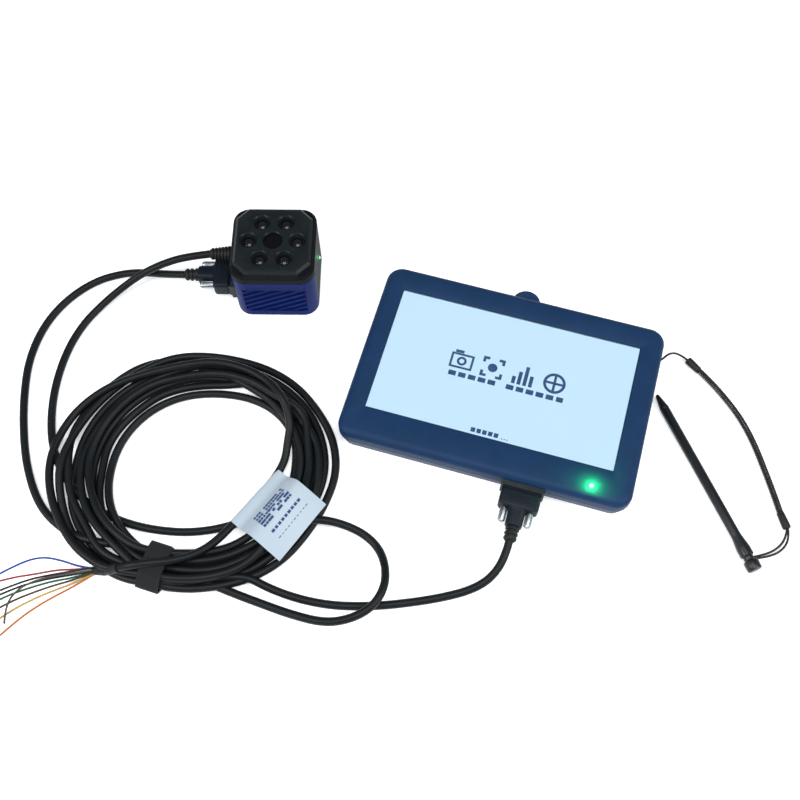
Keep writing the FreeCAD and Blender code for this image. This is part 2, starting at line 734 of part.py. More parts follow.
def rear_shell():
    outer = rounded_block("shell_outer", DISPLAY, "display_width", "display_depth",
                          "shell_height", "display_corner",
                          bottom=("shell_taper", "shell_taper_rise"))
    lug = rod("lug_disc", DISPLAY, "lug_radius", "lug_height",
              "0", "display_depth / 2 + lug_reach", "lug_base")
    foot = block("lug_foot", DISPLAY, "lug_foot_width", "2 * lug_foot_depth", "lug_height",
                 "0", "display_depth / 2", "lug_base")
    cavity = rounded_block("shell_cavity", DISPLAY, "display_width - 2 * shell_wall",
                           "display_depth - 2 * shell_wall", "shell_height",
                           "display_corner - shell_wall", z="shell_wall",
                           bottom=("shell_taper", "shell_taper_rise"))
    posts = []
    for x, y in corners_of("lcd_post_x", "lcd_post_y"):
        posts.append(rod("lcd_post", DISPLAY, "lcd_post_radius",
                         "shell_height + bezel_height - bezel_lip - touch_height - lcd_height"
                         " - shell_wall / 2", "screen_x " + x, "screen_y " + y, "shell_wall / 2"))
    for x, y in corners_of("board_x", "board_y"):
        posts.append(rod("board_post", DISPLAY, "display_post_radius",
                         "display_board_level - shell_wall / 2", x, y, "shell_wall / 2"))
    tools = []
    for x, y in corners_of(SHELL_SCREW_X, SHELL_SCREW_Y):
        posts.append(rod("shell_boss", DISPLAY, "shell_boss_radius",
                         "shell_height - shell_wall / 2", x, y, "shell_wall / 2"))
        tools.append(rod("shell_screw_hole", DISPLAY, "shell_screw_radius + post_gap",
                         "shell_height", x, y, "0"))
        tools.append(rod("shell_screw_seat", DISPLAY, "shell_screw_head + fit_gap",
                         "shell_screw_sink + shell_screw_head_height", x, y, "0"))
    tools.append(rod("lug_hole", DISPLAY, "lug_hole_radius", "lug_height",
                     "0", "display_depth / 2 + lug_hole_reach", "lug_base"))
    tools.append(plug_wall_opening("shell_plug_opening", DISPLAY_PLUG))
    tools.append(rod("tether_hole", DISPLAY, "tether_hole_radius", "2 * shell_wall",
                     "display_width / 2 - 2 * shell_wall", "tether_hole_y",
                     "tether_hole_level", "x"))
    hollow = cut("shell_hollow", fuse("shell_with_lug", outer, lug, foot), cavity)
    return node("rear_shell", cut("shell_drilled", fuse("shell_with_posts", hollow, *posts), *tools))


def front_bezel():
    outer = rounded_block("bezel_outer", DISPLAY, "display_width", "display_depth",
                          "bezel_height", "display_corner", z="shell_height",
                          top=("bezel_slope", "bezel_slope_drop"))
    window = block("bezel_window", DISPLAY, "screen_width", "screen_depth", "bezel_height",
                   "screen_x", "screen_y", "shell_height")
    recess = block("bezel_recess", DISPLAY, "screen_width + 2 * touch_margin",
                   "screen_depth + 2 * touch_margin", "bezel_height - bezel_lip",
                   "screen_x", "screen_y", "shell_height")
    tools = [window, recess]
    tools.append(rod("bezel_light_hole", DISPLAY, "display_light_radius + post_gap",
                     "bezel_height", DISPLAY_LIGHT_X, DISPLAY_LIGHT_Y, "shell_height"))
    for x, y in corners_of(SHELL_SCREW_X, SHELL_SCREW_Y):
        tools.append(rod("bezel_screw_hole", DISPLAY, "shell_screw_radius + post_gap",
                         "bezel_height - shell_screw_end", x, y, "shell_height"))
    return node("front_bezel", cut("bezel", outer, *tools))


def display_inside():
    glass_top = "shell_height + bezel_height - bezel_lip"
    node("touch_panel", block("touch_glass", DISPLAY,
                              "screen_width + 2 * touch_margin - 2 * fit_gap",
                              "screen_depth + 2 * touch_margin - 2 * fit_gap", "touch_height",
                              "screen_x", "screen_y", glass_top + " - touch_height"))
    node("lcd_panel", block("lcd_module", DISPLAY, "screen_width + 2 * lcd_margin",
                            "screen_depth + 2 * lcd_margin", "lcd_height", "screen_x", "screen_y",
                            glass_top + " - touch_height - lcd_height"))
    node("display_board", block("display_circuit", DISPLAY, "display_board_length",
                                "display_board_width", "board_height", "0", "0",
                                "display_board_level"))
    pipe = rod("display_light_pipe", DISPLAY, "display_light_radius",
               "bezel_height + display_light_stand", DISPLAY_LIGHT_X, DISPLAY_LIGHT_Y,
               "shell_height")
    flange = rod("display_light_disc", DISPLAY, "display_light_flange",
                 "display_light_flange_height", DISPLAY_LIGHT_X, DISPLAY_LIGHT_Y,
                 "shell_height - display_light_flange_height")
    node("display_status_light", fuse("display_light", pipe, flange))
    screws = []
    for x, y in corners_of(SHELL_SCREW_X, SHELL_SCREW_Y):
        head = rod("shell_button", DISPLAY, "shell_screw_head", "shell_screw_head_height",
                   x, y, "shell_screw_sink")
        shank = rod("shell_shank", DISPLAY, "shell_screw_radius",
                    "shell_height + bezel_height - shell_screw_end - shell_screw_sink"
                    " - post_gap", x, y, "shell_screw_sink")
        screws.append(fuse("shell_screw", head, shank))
    node("shell_screws", group("shell_screw_set", *screws))


# Cables

def cord_path(points):
    """Straight runs joined by tangent arcs, as edges, with the arcs' radii."""
    spots = [FreeCAD.Vector(*point) for point in points]
    edges, radii = [], []
    last = spots[0]
    for before, corner, after in zip(spots, spots[1:], spots[2:]):
        into, out = corner - before, after - corner
        shorter = min(into.Length, out.Length)
        turn = into.getAngle(out)
        back = 0.45 * shorter
        radii.append(back / math.tan(turn / 2))
        into.normalize()
        out.normalize()
        start, end = corner - into * back, corner + out * back
        aim = (out - into).normalize()
        reach = radii[-1] / math.cos(turn / 2) - radii[-1]
        edges.append(Part.LineSegment(last, start).toShape())
        edges.append(Part.Arc(start, corner + aim * reach, end).toShape())
        last = end
    edges.append(Part.LineSegment(last, spots[-1]).toShape())
    return edges, radii


def cord_tube(name, points, diameter_name):
    diameter = SIZES[diameter_name]
    edges, radii = cord_path(points)
    wire = Part.Wire(edges)
    first = FreeCAD.Vector(*points[0])
    aim = FreeCAD.Vector(*points[1]) - first
    ring = Part.Wire([Part.makeCircle(diameter / 2, first, aim)])
    tube = wire.makePipeShell([ring], True, False)
    feature = doc.addObject("Part::Feature", name + "_tube")
    feature.Shape = tube
    expected = math.pi * diameter ** 2 / 4 * wire.Length
    print("%s: length %.0f, smallest radius %.1f (%.1f diameters), volume ratio %.4f"
          % (name, wire.Length, min(radii), min(radii) / diameter, tube.Volume / expected))
    if abs(tube.Volume / expected - 1) > 0.01:
        raise ValueError(name + " is not a plain tube")
    return node(name, feature)


CABLE_ROUTES = {
    "data_cable_head_run": [
        (-61.15, -4.5, 14), (-76, -2.2, 10.4), (-90, 2.4, 5.2), (-106, 3.2, 2.6),
        (-124, -3, 2.5), (-141, -17.5, 2.5), (-153, -37, 2.5), (-159, -62, 2.5),
        (-158, -88, 2.5), (-154, -114, 2.5), (-147.5, -139, 2.5), (-136, -163, 2.5),
        (-118, -178.5, 3.5), (-98, -186, 7)],
    "data_cable_display_run": [
        (146.54, -183.74, 11), (143.6, -194.3, 9.8), (135.2, -205.5, 6.8), (123.6, -211.6, 4.2),
        (107.5, -215.6, 2.6), (88, -219, 2.5), (66, -221.3, 2.5), (44, -221.2, 2.5),
        (24, -217.6, 2.6), (6, -211.5, 3.6), (-9, -204, 6)],
    "io_cable_loop": [
        (-36, -206, 5), (-18, -213.5, 4.2), (2, -220.5, 3.4), (20, -227, 4.4),
        (40, -232.5, 7.6), (55, -231, 12), (67, -224.5, 12.8), (74, -213, 12.4),
        (74.4, -199.5, 7.4), (70.6, -187.5, 3.4), (62.5, -178.8, 3), (51, -173.2, 4.4),
        (37, -170, 6.4)],
    "io_cable_head_run": [
        (-42.9, 3, 27.5), (-59, 2, 25.6), (-75, -0.4, 20.8), (-90, -4.4, 14.4),
        (-104, -11.5, 7.8), (-116.5, -21.5, 3.4), (-127.5, -36, 2.5), (-135, -55, 2.5),
        (-138.9, -78, 2.5), (-138.7, -101, 2.5), (-134.5, -123, 3), (-124, -143, 6)],
}

WIRE_ROUTES = {
    "wire_blue": [(-97.5, -200.4, 1.5), (-107, -199.2, 0.8), (-118, -195.4, 0.6),
                  (-130, -193.2, 0.6), (-142, -196.6, 0.6), (-155, -204.6, 0.6)],
    "wire_red": [(-97.5, -200.4, 2.8), (-108, -200.9, 1.4), (-120, -201.1, 0.6),
                 (-133, -203.9, 0.6), (-147, -206.2, 0.6), (-162, -211, 0.6)],
    "wire_black": [(-97.5, -200.4, 4.1), (-109, -202.3, 3), (-122, -203.9, 0.7),
                   (-135, -206.8, 0.6), (-147, -211.6, 0.6), (-161, -217.8, 0.6)],
    "wire_black_second": [(-97.5, -202, 2.8), (-109, -204.2, 1.8), (-122, -206, 0.6),
                          (-136, -209.5, 0.6), (-148, -214.6, 0.6), (-162, -221.5, 0.6)],
    "wire_green": [(-97.5, -202, 1.5), (-109, -205.8, 0.8), (-122, -208, 0.6),
                   (-136, -212.6, 0.6), (-149, -217.6, 0.6), (-162, -226, 0.6)],
    "wire_brown": [(-97.5, -203.6, 4.1), (-109, -207.8, 2.8), (-121, -210.6, 0.7),
                   (-134, -215.6, 0.6), (-146, -221.2, 0.6), (-159, -229.4, 0.6)],
    "wire_yellow": [(-97.5, -203.6, 2.8), (-108.5, -209.2, 1.4), (-120, -213.4, 0.6),
                    (-132, -219, 0.6), (-143, -225.6, 0.6), (-155, -234.6, 0.6)],
    "wire_orange": [(-97.5, -203.6, 1.5), (-107.5, -210.4, 0.8), (-118, -216.2, 0.6),
                    (-128.5, -223, 0.6), (-138.5, -231, 0.6), (-148, -241, 0.6)],
    "wire_grey": [(-97.5, -202, 4.1), (-110, -204.6, 5.4), (-124, -207, 5.6), (-136, -211.4, 5.2),
                  (-143, -218, 4.8), (-145.6, -226, 3.4), (-145.8, -233.5, 0.8)],
}

TETHER_ROUTES = {
    "tether_cord": [(240.6, -67.97, 14), (247.2, -69.8, 13.6), (254.6, -66.2, 10.4),
                    (261, -60.6, 5.4), (266.2, -59, 2.8)],
    "tether_loop": [(313.6, -171, 2.5), (312.6, -176.6, 1.6), (307.6, -182.8, 1),
                    (299.5, -187.2, 1.6), (291.4, -189.4, 3.8)],
}
TETHER_COIL_ROUTE = [(272.2, -65.8, 2.5), (278, -72.4, 2.3), (286.6, -84.6, 2.2),
                     (294.6, -98.4, 2.2), (300.6, -114, 2.2), (305.2, -133, 2.2),
                     (309, -150.6, 2.3), (311, -162, 2.5)]
SLEEVE_ENDS = ((-80, -198.2, 5.8), (-97, -202, 2.8))


def between(name, start, end, first_radius, last_radius):
    """A round piece between two points of a route."""
    run = FreeCAD.Vector(*end) - FreeCAD.Vector(*start)
    yaw = math.degrees(math.atan2(run.y, run.x))
    pitch = 90 - math.degrees(math.asin(run.z / run.Length))
    cone = doc.addObject("Part::Cylinder" if first_radius == last_radius else "Part::Cone", name)
    if first_radius == last_radius:
        bind(cone, Radius=first_radius)
    else:
        bind(cone, Radius1=first_radius, Radius2=last_radius)
    cone.Height = run.Length
    cone.Placement = FreeCAD.Placement(FreeCAD.Vector(*start), FreeCAD.Rotation(yaw, pitch, 0))
    return cone


def coil():
    frame = Frame("coil_x", "coil_y", "coil_base")
    oval = place(bind(doc.addObject("Part::Ellipse", "coil_outline"), MajorRadius="coil_major",
                      MinorRadius="coil_minor"), frame, "0", "0", "0")
    solid = doc.addObject("Part::Extrusion", "coil_body")
    solid.Base = oval
    solid.DirMode = "Custom"
    solid.Dir = FreeCAD.Vector(0, 0, 1)
    solid.Solid = True
    bind(solid, LengthFwd="coil_height")
    hole = rod("coil_hole", Frame("coil_hole_x", "coil_hole_y", "coil_base"),
               "coil_hole_radius", "coil_height")
    ring = cut("coil_ring", solid, hole)
    doc.recompute()
    bevel = doc.addObject("Part::Chamfer", "coil_edges")
    bevel.Base = ring
    size = SIZES["coil_bevel"]
    bevel.Edges = [(count, size, size) for count, edge in enumerate(ring.Shape.Edges, start=1)
                   if edge.BoundBox.ZLength < 1e-6 and edge.Length > SIZES["coil_major"]]
    node("cable_coil", bevel)

    wrap = block("strap_block", Frame("strap_x", "strap_y", "0", "strap_turn"), "strap_width",
                 "strap_depth", "coil_base + coil_height + strap_thickness")
    node("coil_strap", cut("strap", wrap, bevel))

    tag = Frame("label_x", "label_y", "coil_base + coil_height", "label_turn")
    node("cable_label", block("label_sheet", tag, "label_length", "label_width",
                              "label_thickness"))
    node("io_end_sleeve", between("sleeve", *SLEEVE_ENDS, "sleeve_root_radius",
                                  "sleeve_tip_radius"))


def cables():
    for name, points in CABLE_ROUTES.items():
        cord_tube(name, points, "cable_diameter")
    for name, points in WIRE_ROUTES.items():
        cord_tube(name, points, "wire_diameter")
    for name, points in TETHER_ROUTES.items():
        cord_tube(name, points, "tether_diameter")
    cord_tube("tether_coil", TETHER_COIL_ROUTE, "tether_coil_diameter")
    upper = between("ferrule_upper", TETHER_ROUTES["tether_cord"][-1], TETHER_COIL_ROUTE[0],
                    "ferrule_radius", "ferrule_radius")
    lower = between("ferrule_lower", TETHER_COIL_ROUTE[-1], TETHER_ROUTES["tether_loop"][0],
                    "ferrule_radius", "ferrule_radius")
    node("tether_ferrules", group("ferrules", upper, lower))


# Stylus

def stylus():
    """Turned pieces end to end, from the point to the cap, lying on the table."""
    pieces = [("stylus_point_radius", "stylus_radius", "stylus_point_length"),
              ("stylus_radius", "stylus_radius", "stylus_shaft_length"),
              ("stylus_radius", "stylus_flare_radius", "stylus_flare_length"),
              ("stylus_flare_radius", "stylus_flare_radius", "stylus_body_length"),
              ("stylus_radius", "stylus_radius", "stylus_waist_length"),
              ("stylus_cap_radius", "stylus_cap_radius", "stylus_cap_length")]
    solids = []
    reach = "0"
    for index, (start, end, length) in enumerate(pieces):
        if start == end:
            piece = bind(doc.addObject("Part::Cylinder", "stylus_piece_%d" % index),
                         Radius=start, Height=length)
        else:
            piece = bind(doc.addObject("Part::Cone", "stylus_piece_%d" % index),
                         Radius1=start, Radius2=end, Height=length)
        frame = DISPLAY.inside("display_width / 2 + stylus_gap", "stylus_tip_y", "stylus_tip_level",
                               "stylus_turn")
        place(piece, frame, "(%s) * sin(stylus_tilt)" % reach, "0",
              "(%s) * cos(stylus_tilt) * -1" % reach, "180 - stylus_tilt", "0")
        solids.append(piece)
        reach += " + " + length
    node("stylus", fuse("stylus_solid", *solids))


heat_sink_base()
head_seal()
head_housing()
front_plate()
lens_group()
boards()
head_fittings()
connector("head", HEAD_PLUG, ("head_plug_screw_upper", "head_plug_screw_lower"))
gland()
rear_shell()
front_bezel()
display_inside()
connector("display", DISPLAY_PLUG, ("display_plug_screw_left", "display_plug_screw_right"))
coil()
cables()
stylus()
doc.recompute()

for feature in doc.Objects:
    if "Invalid" in feature.State or "Error" in feature.State:
        raise RuntimeError("%s failed: %s" % (feature.Label, feature.State))
os.makedirs("parts", exist_ok=True)
for name, feature in parts.items():
    shape = feature.Shape
    if shape.isNull() or not shape.isValid() or not shape.Solids:
        raise RuntimeError(name + " has no valid solid")
    shape.exportStep("parts/%s.step" % name)
print("wrote %d parts" % len(parts))
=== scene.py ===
import bmesh
import bpy
import math
import random
from mathutils import Matrix, Vector


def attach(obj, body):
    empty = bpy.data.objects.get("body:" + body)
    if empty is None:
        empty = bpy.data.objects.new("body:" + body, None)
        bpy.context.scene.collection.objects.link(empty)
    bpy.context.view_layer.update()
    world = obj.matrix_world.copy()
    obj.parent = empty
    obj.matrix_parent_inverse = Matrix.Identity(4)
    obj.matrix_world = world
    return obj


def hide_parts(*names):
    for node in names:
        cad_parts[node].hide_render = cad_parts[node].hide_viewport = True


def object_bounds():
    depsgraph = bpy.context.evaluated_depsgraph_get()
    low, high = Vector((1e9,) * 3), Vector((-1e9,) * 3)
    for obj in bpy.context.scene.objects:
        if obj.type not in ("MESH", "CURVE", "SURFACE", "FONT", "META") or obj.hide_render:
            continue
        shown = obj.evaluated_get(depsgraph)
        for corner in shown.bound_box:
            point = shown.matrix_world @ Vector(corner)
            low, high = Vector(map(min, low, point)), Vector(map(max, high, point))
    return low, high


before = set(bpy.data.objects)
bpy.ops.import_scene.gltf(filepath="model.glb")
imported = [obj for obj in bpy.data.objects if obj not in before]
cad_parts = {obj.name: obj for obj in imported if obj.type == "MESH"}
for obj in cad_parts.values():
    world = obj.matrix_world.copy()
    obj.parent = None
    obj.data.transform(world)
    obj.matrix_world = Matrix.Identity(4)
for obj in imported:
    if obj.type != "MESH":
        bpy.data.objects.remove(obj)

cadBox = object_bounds()
mm = 0.001


def spot(x, y, z):
    return Vector((x, y, z)) * mm


def addObject(name, data):
    obj = bpy.data.objects.new(name, data)
    bpy.context.collection.objects.link(obj)
    return obj


def camelName(words, gap=" "):
    first, *rest = words.split(gap)
    return first + "".join(word.capitalize() for word in rest)


# the display's own corner of the table: local millimetres to the shared frame
displayPlace = {"x": 145.8, "y": -83.5, "turn": -15.5}
displayMatrix = (Matrix.Translation(spot(displayPlace["x"], displayPlace["y"], 0))
                 @ Matrix.Rotation(math.radians(displayPlace["turn"]), 4, "Z"))

# camera, room and lights

view = {"place": (87.61, -369.26, 599.48), "tilt": (25.155, 0.271, 0.729), "lens": 46.86, "sensor": 36,
        "far": 10}
cameraData = bpy.data.cameras.new("viewCamera")
cameraData.lens = view["lens"]
cameraData.sensor_width = view["sensor"]
cameraData.clip_end = view["far"]
camera = addObject("viewCamera", cameraData)
camera.location = spot(*view["place"])
camera.rotation_euler = [math.radians(a) for a in view["tilt"]]
bpy.context.scene.camera = camera

room = {"colour": (0.90, 0.95, 1.0), "strength": 0.34}
world = bpy.data.worlds.new("paleRoom")
world.use_nodes = True
background = world.node_tree.nodes["Background"]
background.inputs["Color"].default_value = (*room["colour"], 1)
background.inputs["Strength"].default_value = room["strength"]
bpy.context.scene.world = world
bpy.context.scene.view_settings.view_transform = "Standard"

# small bare bulbs: one for highlights, and one in front of each green light for its glow
glints = {
    "pinLamp": {"place": spot(-620, -300, 620), "watts": 1.4, "radius": 7, "tint": (1.0, 1.0, 1.0)},
    "displayGlint": {"place": spot(195.1, -152.7, 25.4), "watts": 0.05, "radius": 1.5,
                     "tint": (0.06, 1.0, 0.12)},
    "headGlint": {"place": spot(30.5, 9, 15), "watts": 0.0008, "radius": 1,
                  "tint": (0.15, 1.0, 0.35)},
}
lamps = {
    "ceilingLamp": {"place": spot(60, -330, 950), "aim": spot(20, -120, 0), "size": 620, "watts": 7.5,
                    "tint": (0.97, 0.99, 1.0)},
    "leftLamp": {"place": spot(-560, -420, 560), "aim": spot(0, -80, 0), "size": 260, "watts": 4.2,
                 "tint": (1.0, 1.0, 0.98)},
    "rightLamp": {"place": spot(620, -300, 520), "aim": spot(60, -80, 0), "size": 300, "watts": 3.2,
                  "tint": (0.98, 0.99, 1.0)},
}


def hangLight(name, kind, lamp):
    light = bpy.data.lights.new(name, kind)
    light.energy = lamp["watts"]
    light.color = lamp["tint"]
    holder = addObject(name, light)
    holder.location = lamp["place"]
    return light, holder


for name, glint in glints.items():
    light, holder = hangLight(name, "POINT", glint)
    light.shadow_soft_size = glint["radius"] * mm
for name, lamp in lamps.items():
    light, holder = hangLight(name, "AREA", lamp)
    light.size = lamp["size"] * mm
    holder.rotation_euler = (lamp["aim"] - lamp["place"]).to_track_quat("-Z", "Y").to_euler()


# finishes

def makeTree(name, kind, inputs, outputs):
    tree = bpy.data.node_groups.new(name, kind + "NodeTree")
    for label, socketKind, value in inputs:
        socket = tree.interface.new_socket(label, in_out="INPUT", socket_type="NodeSocket" + socketKind)
        if value is not None:
            socket.default_value = value
    for label, socketKind in outputs:
        tree.interface.new_socket(label, in_out="OUTPUT", socket_type="NodeSocket" + socketKind)
    return tree, tree.nodes.new("NodeGroupInput").outputs, tree.nodes.new("NodeGroupOutput").inputs


def treeNode(tree, kind, links, **settings):
    # a node with its inputs linked to other nodes' outputs, or set where a plain value is given
    node = tree.nodes.new(kind)
    for key, value in settings.items():
        setattr(node, key, value)
    for key, value in links.items():
        if isinstance(value, (int, float, bool, tuple)):
            node.inputs[key].default_value = value
        else:
            tree.links.new(value, node.inputs[key])
    return node


def mathNode(tree, operation, *values):
    return treeNode(tree, "ShaderNodeMath", dict(enumerate(values)), operation=operation).outputs[0]


def noiseNode(tree, scale, detail, coords):
    return treeNode(tree, "ShaderNodeTexNoise", {"Detail": detail, "Scale": scale,
                                                 "Vector": coords}).outputs["Fac"]


def mixColour(tree, amount, first, second):
    return treeNode(tree, "ShaderNodeMix", {"Factor": amount, 6: first, 7: second},
                    data_type="RGBA").outputs[2]


surface = {"slow": 60.0, "patches": 380.0, "driftFrom": 0.35, "driftGain": 1.6, "grainShare": 0.7,
           "patchShare": 0.3}
# the lighter edge line, part real wear and part painted highlight: where it starts and how it breaks up
edgeWearAndHighlight = {"from": 0.52, "to": 0.62, "broken": 900.0}


def buildSurfaceGroup():
    # fine grain, slow colour drift and faint rubbed patches, for every moulded or coated surface
    group, given, made = makeTree("moulded surface", "Shader", [
        ("Colour", "Color", (0.1, 0.1, 0.1, 1)), ("Worn Colour", "Color", (0.2, 0.2, 0.2, 1)),
        ("Drift", "Float", 0.2), ("Grain Scale", "Float", 2500.0), ("Roughness", "Float", 0.5),
        ("Roughness Spread", "Float", 0.1)], [("Colour", "Color"), ("Roughness", "Float"),
                                              ("Height", "Float")])
    coords = treeNode(group, "ShaderNodeTexCoord", {}).outputs["Object"]
    grain = noiseNode(group, given["Grain Scale"], 3.0, coords)
    slow = noiseNode(group, surface["slow"], 3.0, coords)
    patches = noiseNode(group, surface["patches"], 5.0, coords)
    spread = mathNode(group, "MULTIPLY", mathNode(group, "SUBTRACT", slow, surface["driftFrom"]),
                      given["Drift"])
    worn = mathNode(group, "MAXIMUM", mathNode(group, "MULTIPLY", spread, surface["driftGain"]), 0.0)
    colour = mixColour(group, worn, given["Colour"], given["Worn Colour"])
    rough = mathNode(group, "MULTIPLY_ADD", mathNode(group, "SUBTRACT", patches, 0.5),
                     given["Roughness Spread"], given["Roughness"])
    height = mathNode(group, "MULTIPLY_ADD", grain, surface["grainShare"],
                      mathNode(group, "MULTIPLY", patches, surface["patchShare"]))
    for label, value in (("Colour", colour), ("Roughness", rough), ("Height", height)):
        group.links.new(value, made[label])
    return group


def buildEdgeGroup():
    # lighter line where a surface turns sharply: partly real wear, partly a painted highlight along the edges
    group, given, made = makeTree("edge wear and highlight", "Shader", [
        ("Colour", "Color", (0.1, 0.1, 0.1, 1)), ("Edge Colour", "Color", (0.4, 0.4, 0.4, 1)),
        ("Amount", "Float", 0.5)], [("Colour", "Color")])
    shape = treeNode(group, "ShaderNodeNewGeometry", {})
    ramp = treeNode(group, "ShaderNodeMapRange", {
        "From Min": edgeWearAndHighlight["from"], "From Max": edgeWearAndHighlight["to"], "Value": shape.outputs["Pointiness"]})
    coords = treeNode(group, "ShaderNodeTexCoord", {}).outputs["Object"]
    broken = noiseNode(group, edgeWearAndHighlight["broken"], 4.0, coords)
    # the edge amount: real wear and a painted highlight together
    worn = mathNode(group, "MULTIPLY", ramp.outputs["Result"], broken)
    amount = mathNode(group, "MULTIPLY", worn, given["Amount"])
    group.links.new(mixColour(group, amount, given["Colour"], given["Edge Colour"]), made["Colour"])
    return group


surfaceGroup = buildSurfaceGroup()
edgeGroup = buildEdgeGroup()


finishes = {}
socketNames = {"metal": "Metallic", "coat": "Coat Weight", "specular": "Specular IOR Level",
               "sheen": "Sheen Weight", "glass": "Transmission Weight", "ior": "IOR",
               "glow": "Emission Strength", "glowColour": "Emission Color"}
bumpDepth = 0.2


def lighter(colour, times, plus):
    return (*(min(1.0, c * times + plus) for c in colour), 1)


def finish(name, colour, worn=None, rough=0.45, spread=0.1, drift=0.3, grain=2500.0, bump=0.1, edge=0.0,
           **sockets):
    material = bpy.data.materials.new(name)
    material.use_nodes = True
    tree = material.node_tree
    shader = tree.nodes["Principled BSDF"]
    made = treeNode(tree, "ShaderNodeGroup", {
        "Colour": (*colour, 1), "Worn Colour": (*worn, 1) if worn else lighter(colour, 1.8, 0.004),
        "Drift": drift, "Grain Scale": grain, "Roughness": rough, "Roughness Spread": spread},
        node_tree=surfaceGroup).outputs
    colourOut = made["Colour"]
    # lighter edges: real wear and a painted highlight
    if edge:
        rim = treeNode(tree, "ShaderNodeGroup", {
            "Colour": colourOut, "Edge Colour": lighter(colour, 4, 0.05), "Amount": edge},
            node_tree=edgeGroup)
        colourOut = rim.outputs["Colour"]
    tree.links.new(colourOut, shader.inputs["Base Color"])
    tree.links.new(made["Roughness"], shader.inputs["Roughness"])
    if bump:
        relief = treeNode(tree, "ShaderNodeBump", {
            "Strength": bump, "Distance": bumpDepth * mm, "Height": made["Height"]})
        tree.links.new(relief.outputs["Normal"], shader.inputs["Normal"])
    for key, value in sockets.items():
        shader.inputs[socketNames[key]].default_value = value
    finishes[camelName(name)] = material
    return material


finish("cable jacket", (0.0036, 0.0048, 0.0058), rough=0.46, grain=1800.0, bump=0.08, drift=0.5,
       specular=0.16)
finish("relief rubber", (0.005, 0.0055, 0.006), rough=0.55, bump=0.12, specular=0.25)
finish("blue coat", (0.0008, 0.007, 0.068), rough=0.42, spread=0.2, bump=0.2, edge=0.3, specular=0.03)
finish("black cover", (0.0028, 0.004, 0.005), rough=0.5, bump=0.15, edge=0.2, specular=0.03)
finish("black plate", (0.0028, 0.0048, 0.006), rough=0.36, spread=0.15, bump=0.12, edge=0.5, specular=0.12)
finish("window glass", (0.0015, 0.0012, 0.003), rough=0.08, spread=0.02, bump=0.0, specular=0.15)
finish("lens glass", (0.01, 0.004, 0.02), rough=0.05, spread=0.02, bump=0.0)
# dark glossy domes in place of the clear lenses: the darkness over the chips is painted shade
finish("smoked lens", (0.0025, 0.003, 0.004), rough=0.07, spread=0.03, bump=0.0, specular=0.35)
finish("phosphor", (0.72, 0.62, 0.22), rough=0.5)
finish("circuit board", (0.01, 0.09, 0.035), rough=0.35, bump=0.1, coat=0.4)
finish("sensor glass", (0.02, 0.03, 0.04), rough=0.1, bump=0.0)
finish("bright steel", (0.62, 0.62, 0.63), rough=0.28, bump=0.06, metal=1.0)
finish("plated steel", (0.34, 0.36, 0.38), rough=0.3, spread=0.15, drift=0.1, bump=0.08, metal=1.0)
finish("dark shell", (0.014, 0.017, 0.024), rough=0.35, spread=0.15, drift=0.2, bump=0.08, metal=1.0)
finish("plug hood", (0.003, 0.006, 0.011), rough=0.5, bump=0.25, grain=3500.0, edge=0.2, specular=0.14)
finish("display shell", (0.0065, 0.024, 0.066), rough=0.46, spread=0.12, bump=0.2, grain=3800.0, edge=0.12,
       specular=0.09)
finish("screen", (0.03, 0.04, 0.05), rough=0.4, bump=0.0, specular=0.1, glow=1.0,
       glowColour=(0.55, 0.77, 0.93, 1))
finish("cover glass", (0.98, 0.99, 1.0), rough=0.06, spread=0.02, bump=0.0, drift=0.0, glass=1.0, ior=1.12)
finish("screen mark", (0.01, 0.015, 0.03), rough=0.5, bump=0.0, specular=0.1, glow=0.8,
       glowColour=(0.035, 0.085, 0.22, 1))
finish("green light", (0.01, 0.05, 0.02), rough=0.3, bump=0.0, glow=2.2, glowColour=(0.32, 0.95, 0.36, 1))
finish("label film", (0.33, 0.39, 0.45), worn=(0.27, 0.33, 0.39), rough=0.42, bump=0.03, drift=0.2,
       specular=0.3)
finish("strap weave", (0.005, 0.006, 0.007), rough=0.85, bump=0.5, grain=1400.0, sheen=0.1, specular=0.2)
finish("stylus body", (0.005, 0.006, 0.008), rough=0.33, bump=0.06, specular=0.3)
finish("tether jacket", (0.010, 0.008, 0.011), rough=0.4, bump=0.0, specular=0.3)
wireColours = {
    "black": (0.006, 0.007, 0.008), "blue": (0.006, 0.035, 0.20), "brown": (0.045, 0.022, 0.012),
    "green": (0.008, 0.07, 0.035), "grey": (0.05, 0.046, 0.04), "orange": (0.33, 0.10, 0.02),
    "red": (0.20, 0.02, 0.02), "yellow": (0.34, 0.22, 0.05),
}
for name, colour in wireColours.items():
    finish(name + " wire", colour, rough=0.4, bump=0.0, specular=0.2)
finish("copper strand", (0.72, 0.45, 0.30), rough=0.3, bump=0.0, metal=1.0)
print("finishes made:", len(finishes))

table = {"reach": 4, "drop": 0.2, "colour": (0.86, 0.87, 0.88), "worn": (0.88, 0.88, 0.89), "glow": 0.35}
reach = table["reach"]
floorData = bpy.data.meshes.new("tableTop")
floorData.from_pydata([(-reach, -reach, 0), (reach, -reach, 0), (reach, reach, 0), (-reach, reach, 0)], [],
                      [(0, 1, 2, 3)])
floor = addObject("tableTop", floorData)
floor.location.z = -table["drop"] * mm
floorData.materials.append(finish("table top", table["colour"], worn=table["worn"], rough=0.8, bump=0.0,
                                  drift=0.1, specular=0.1, glow=table["glow"], glowColour=(1, 1, 1, 1)))


def keepPiece(obj, body, *nodes):
    # the piece moves with its body, in place of the nodes it stands for
    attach(obj, body)
    if nodes:
        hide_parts(*nodes)
    return obj


# cords

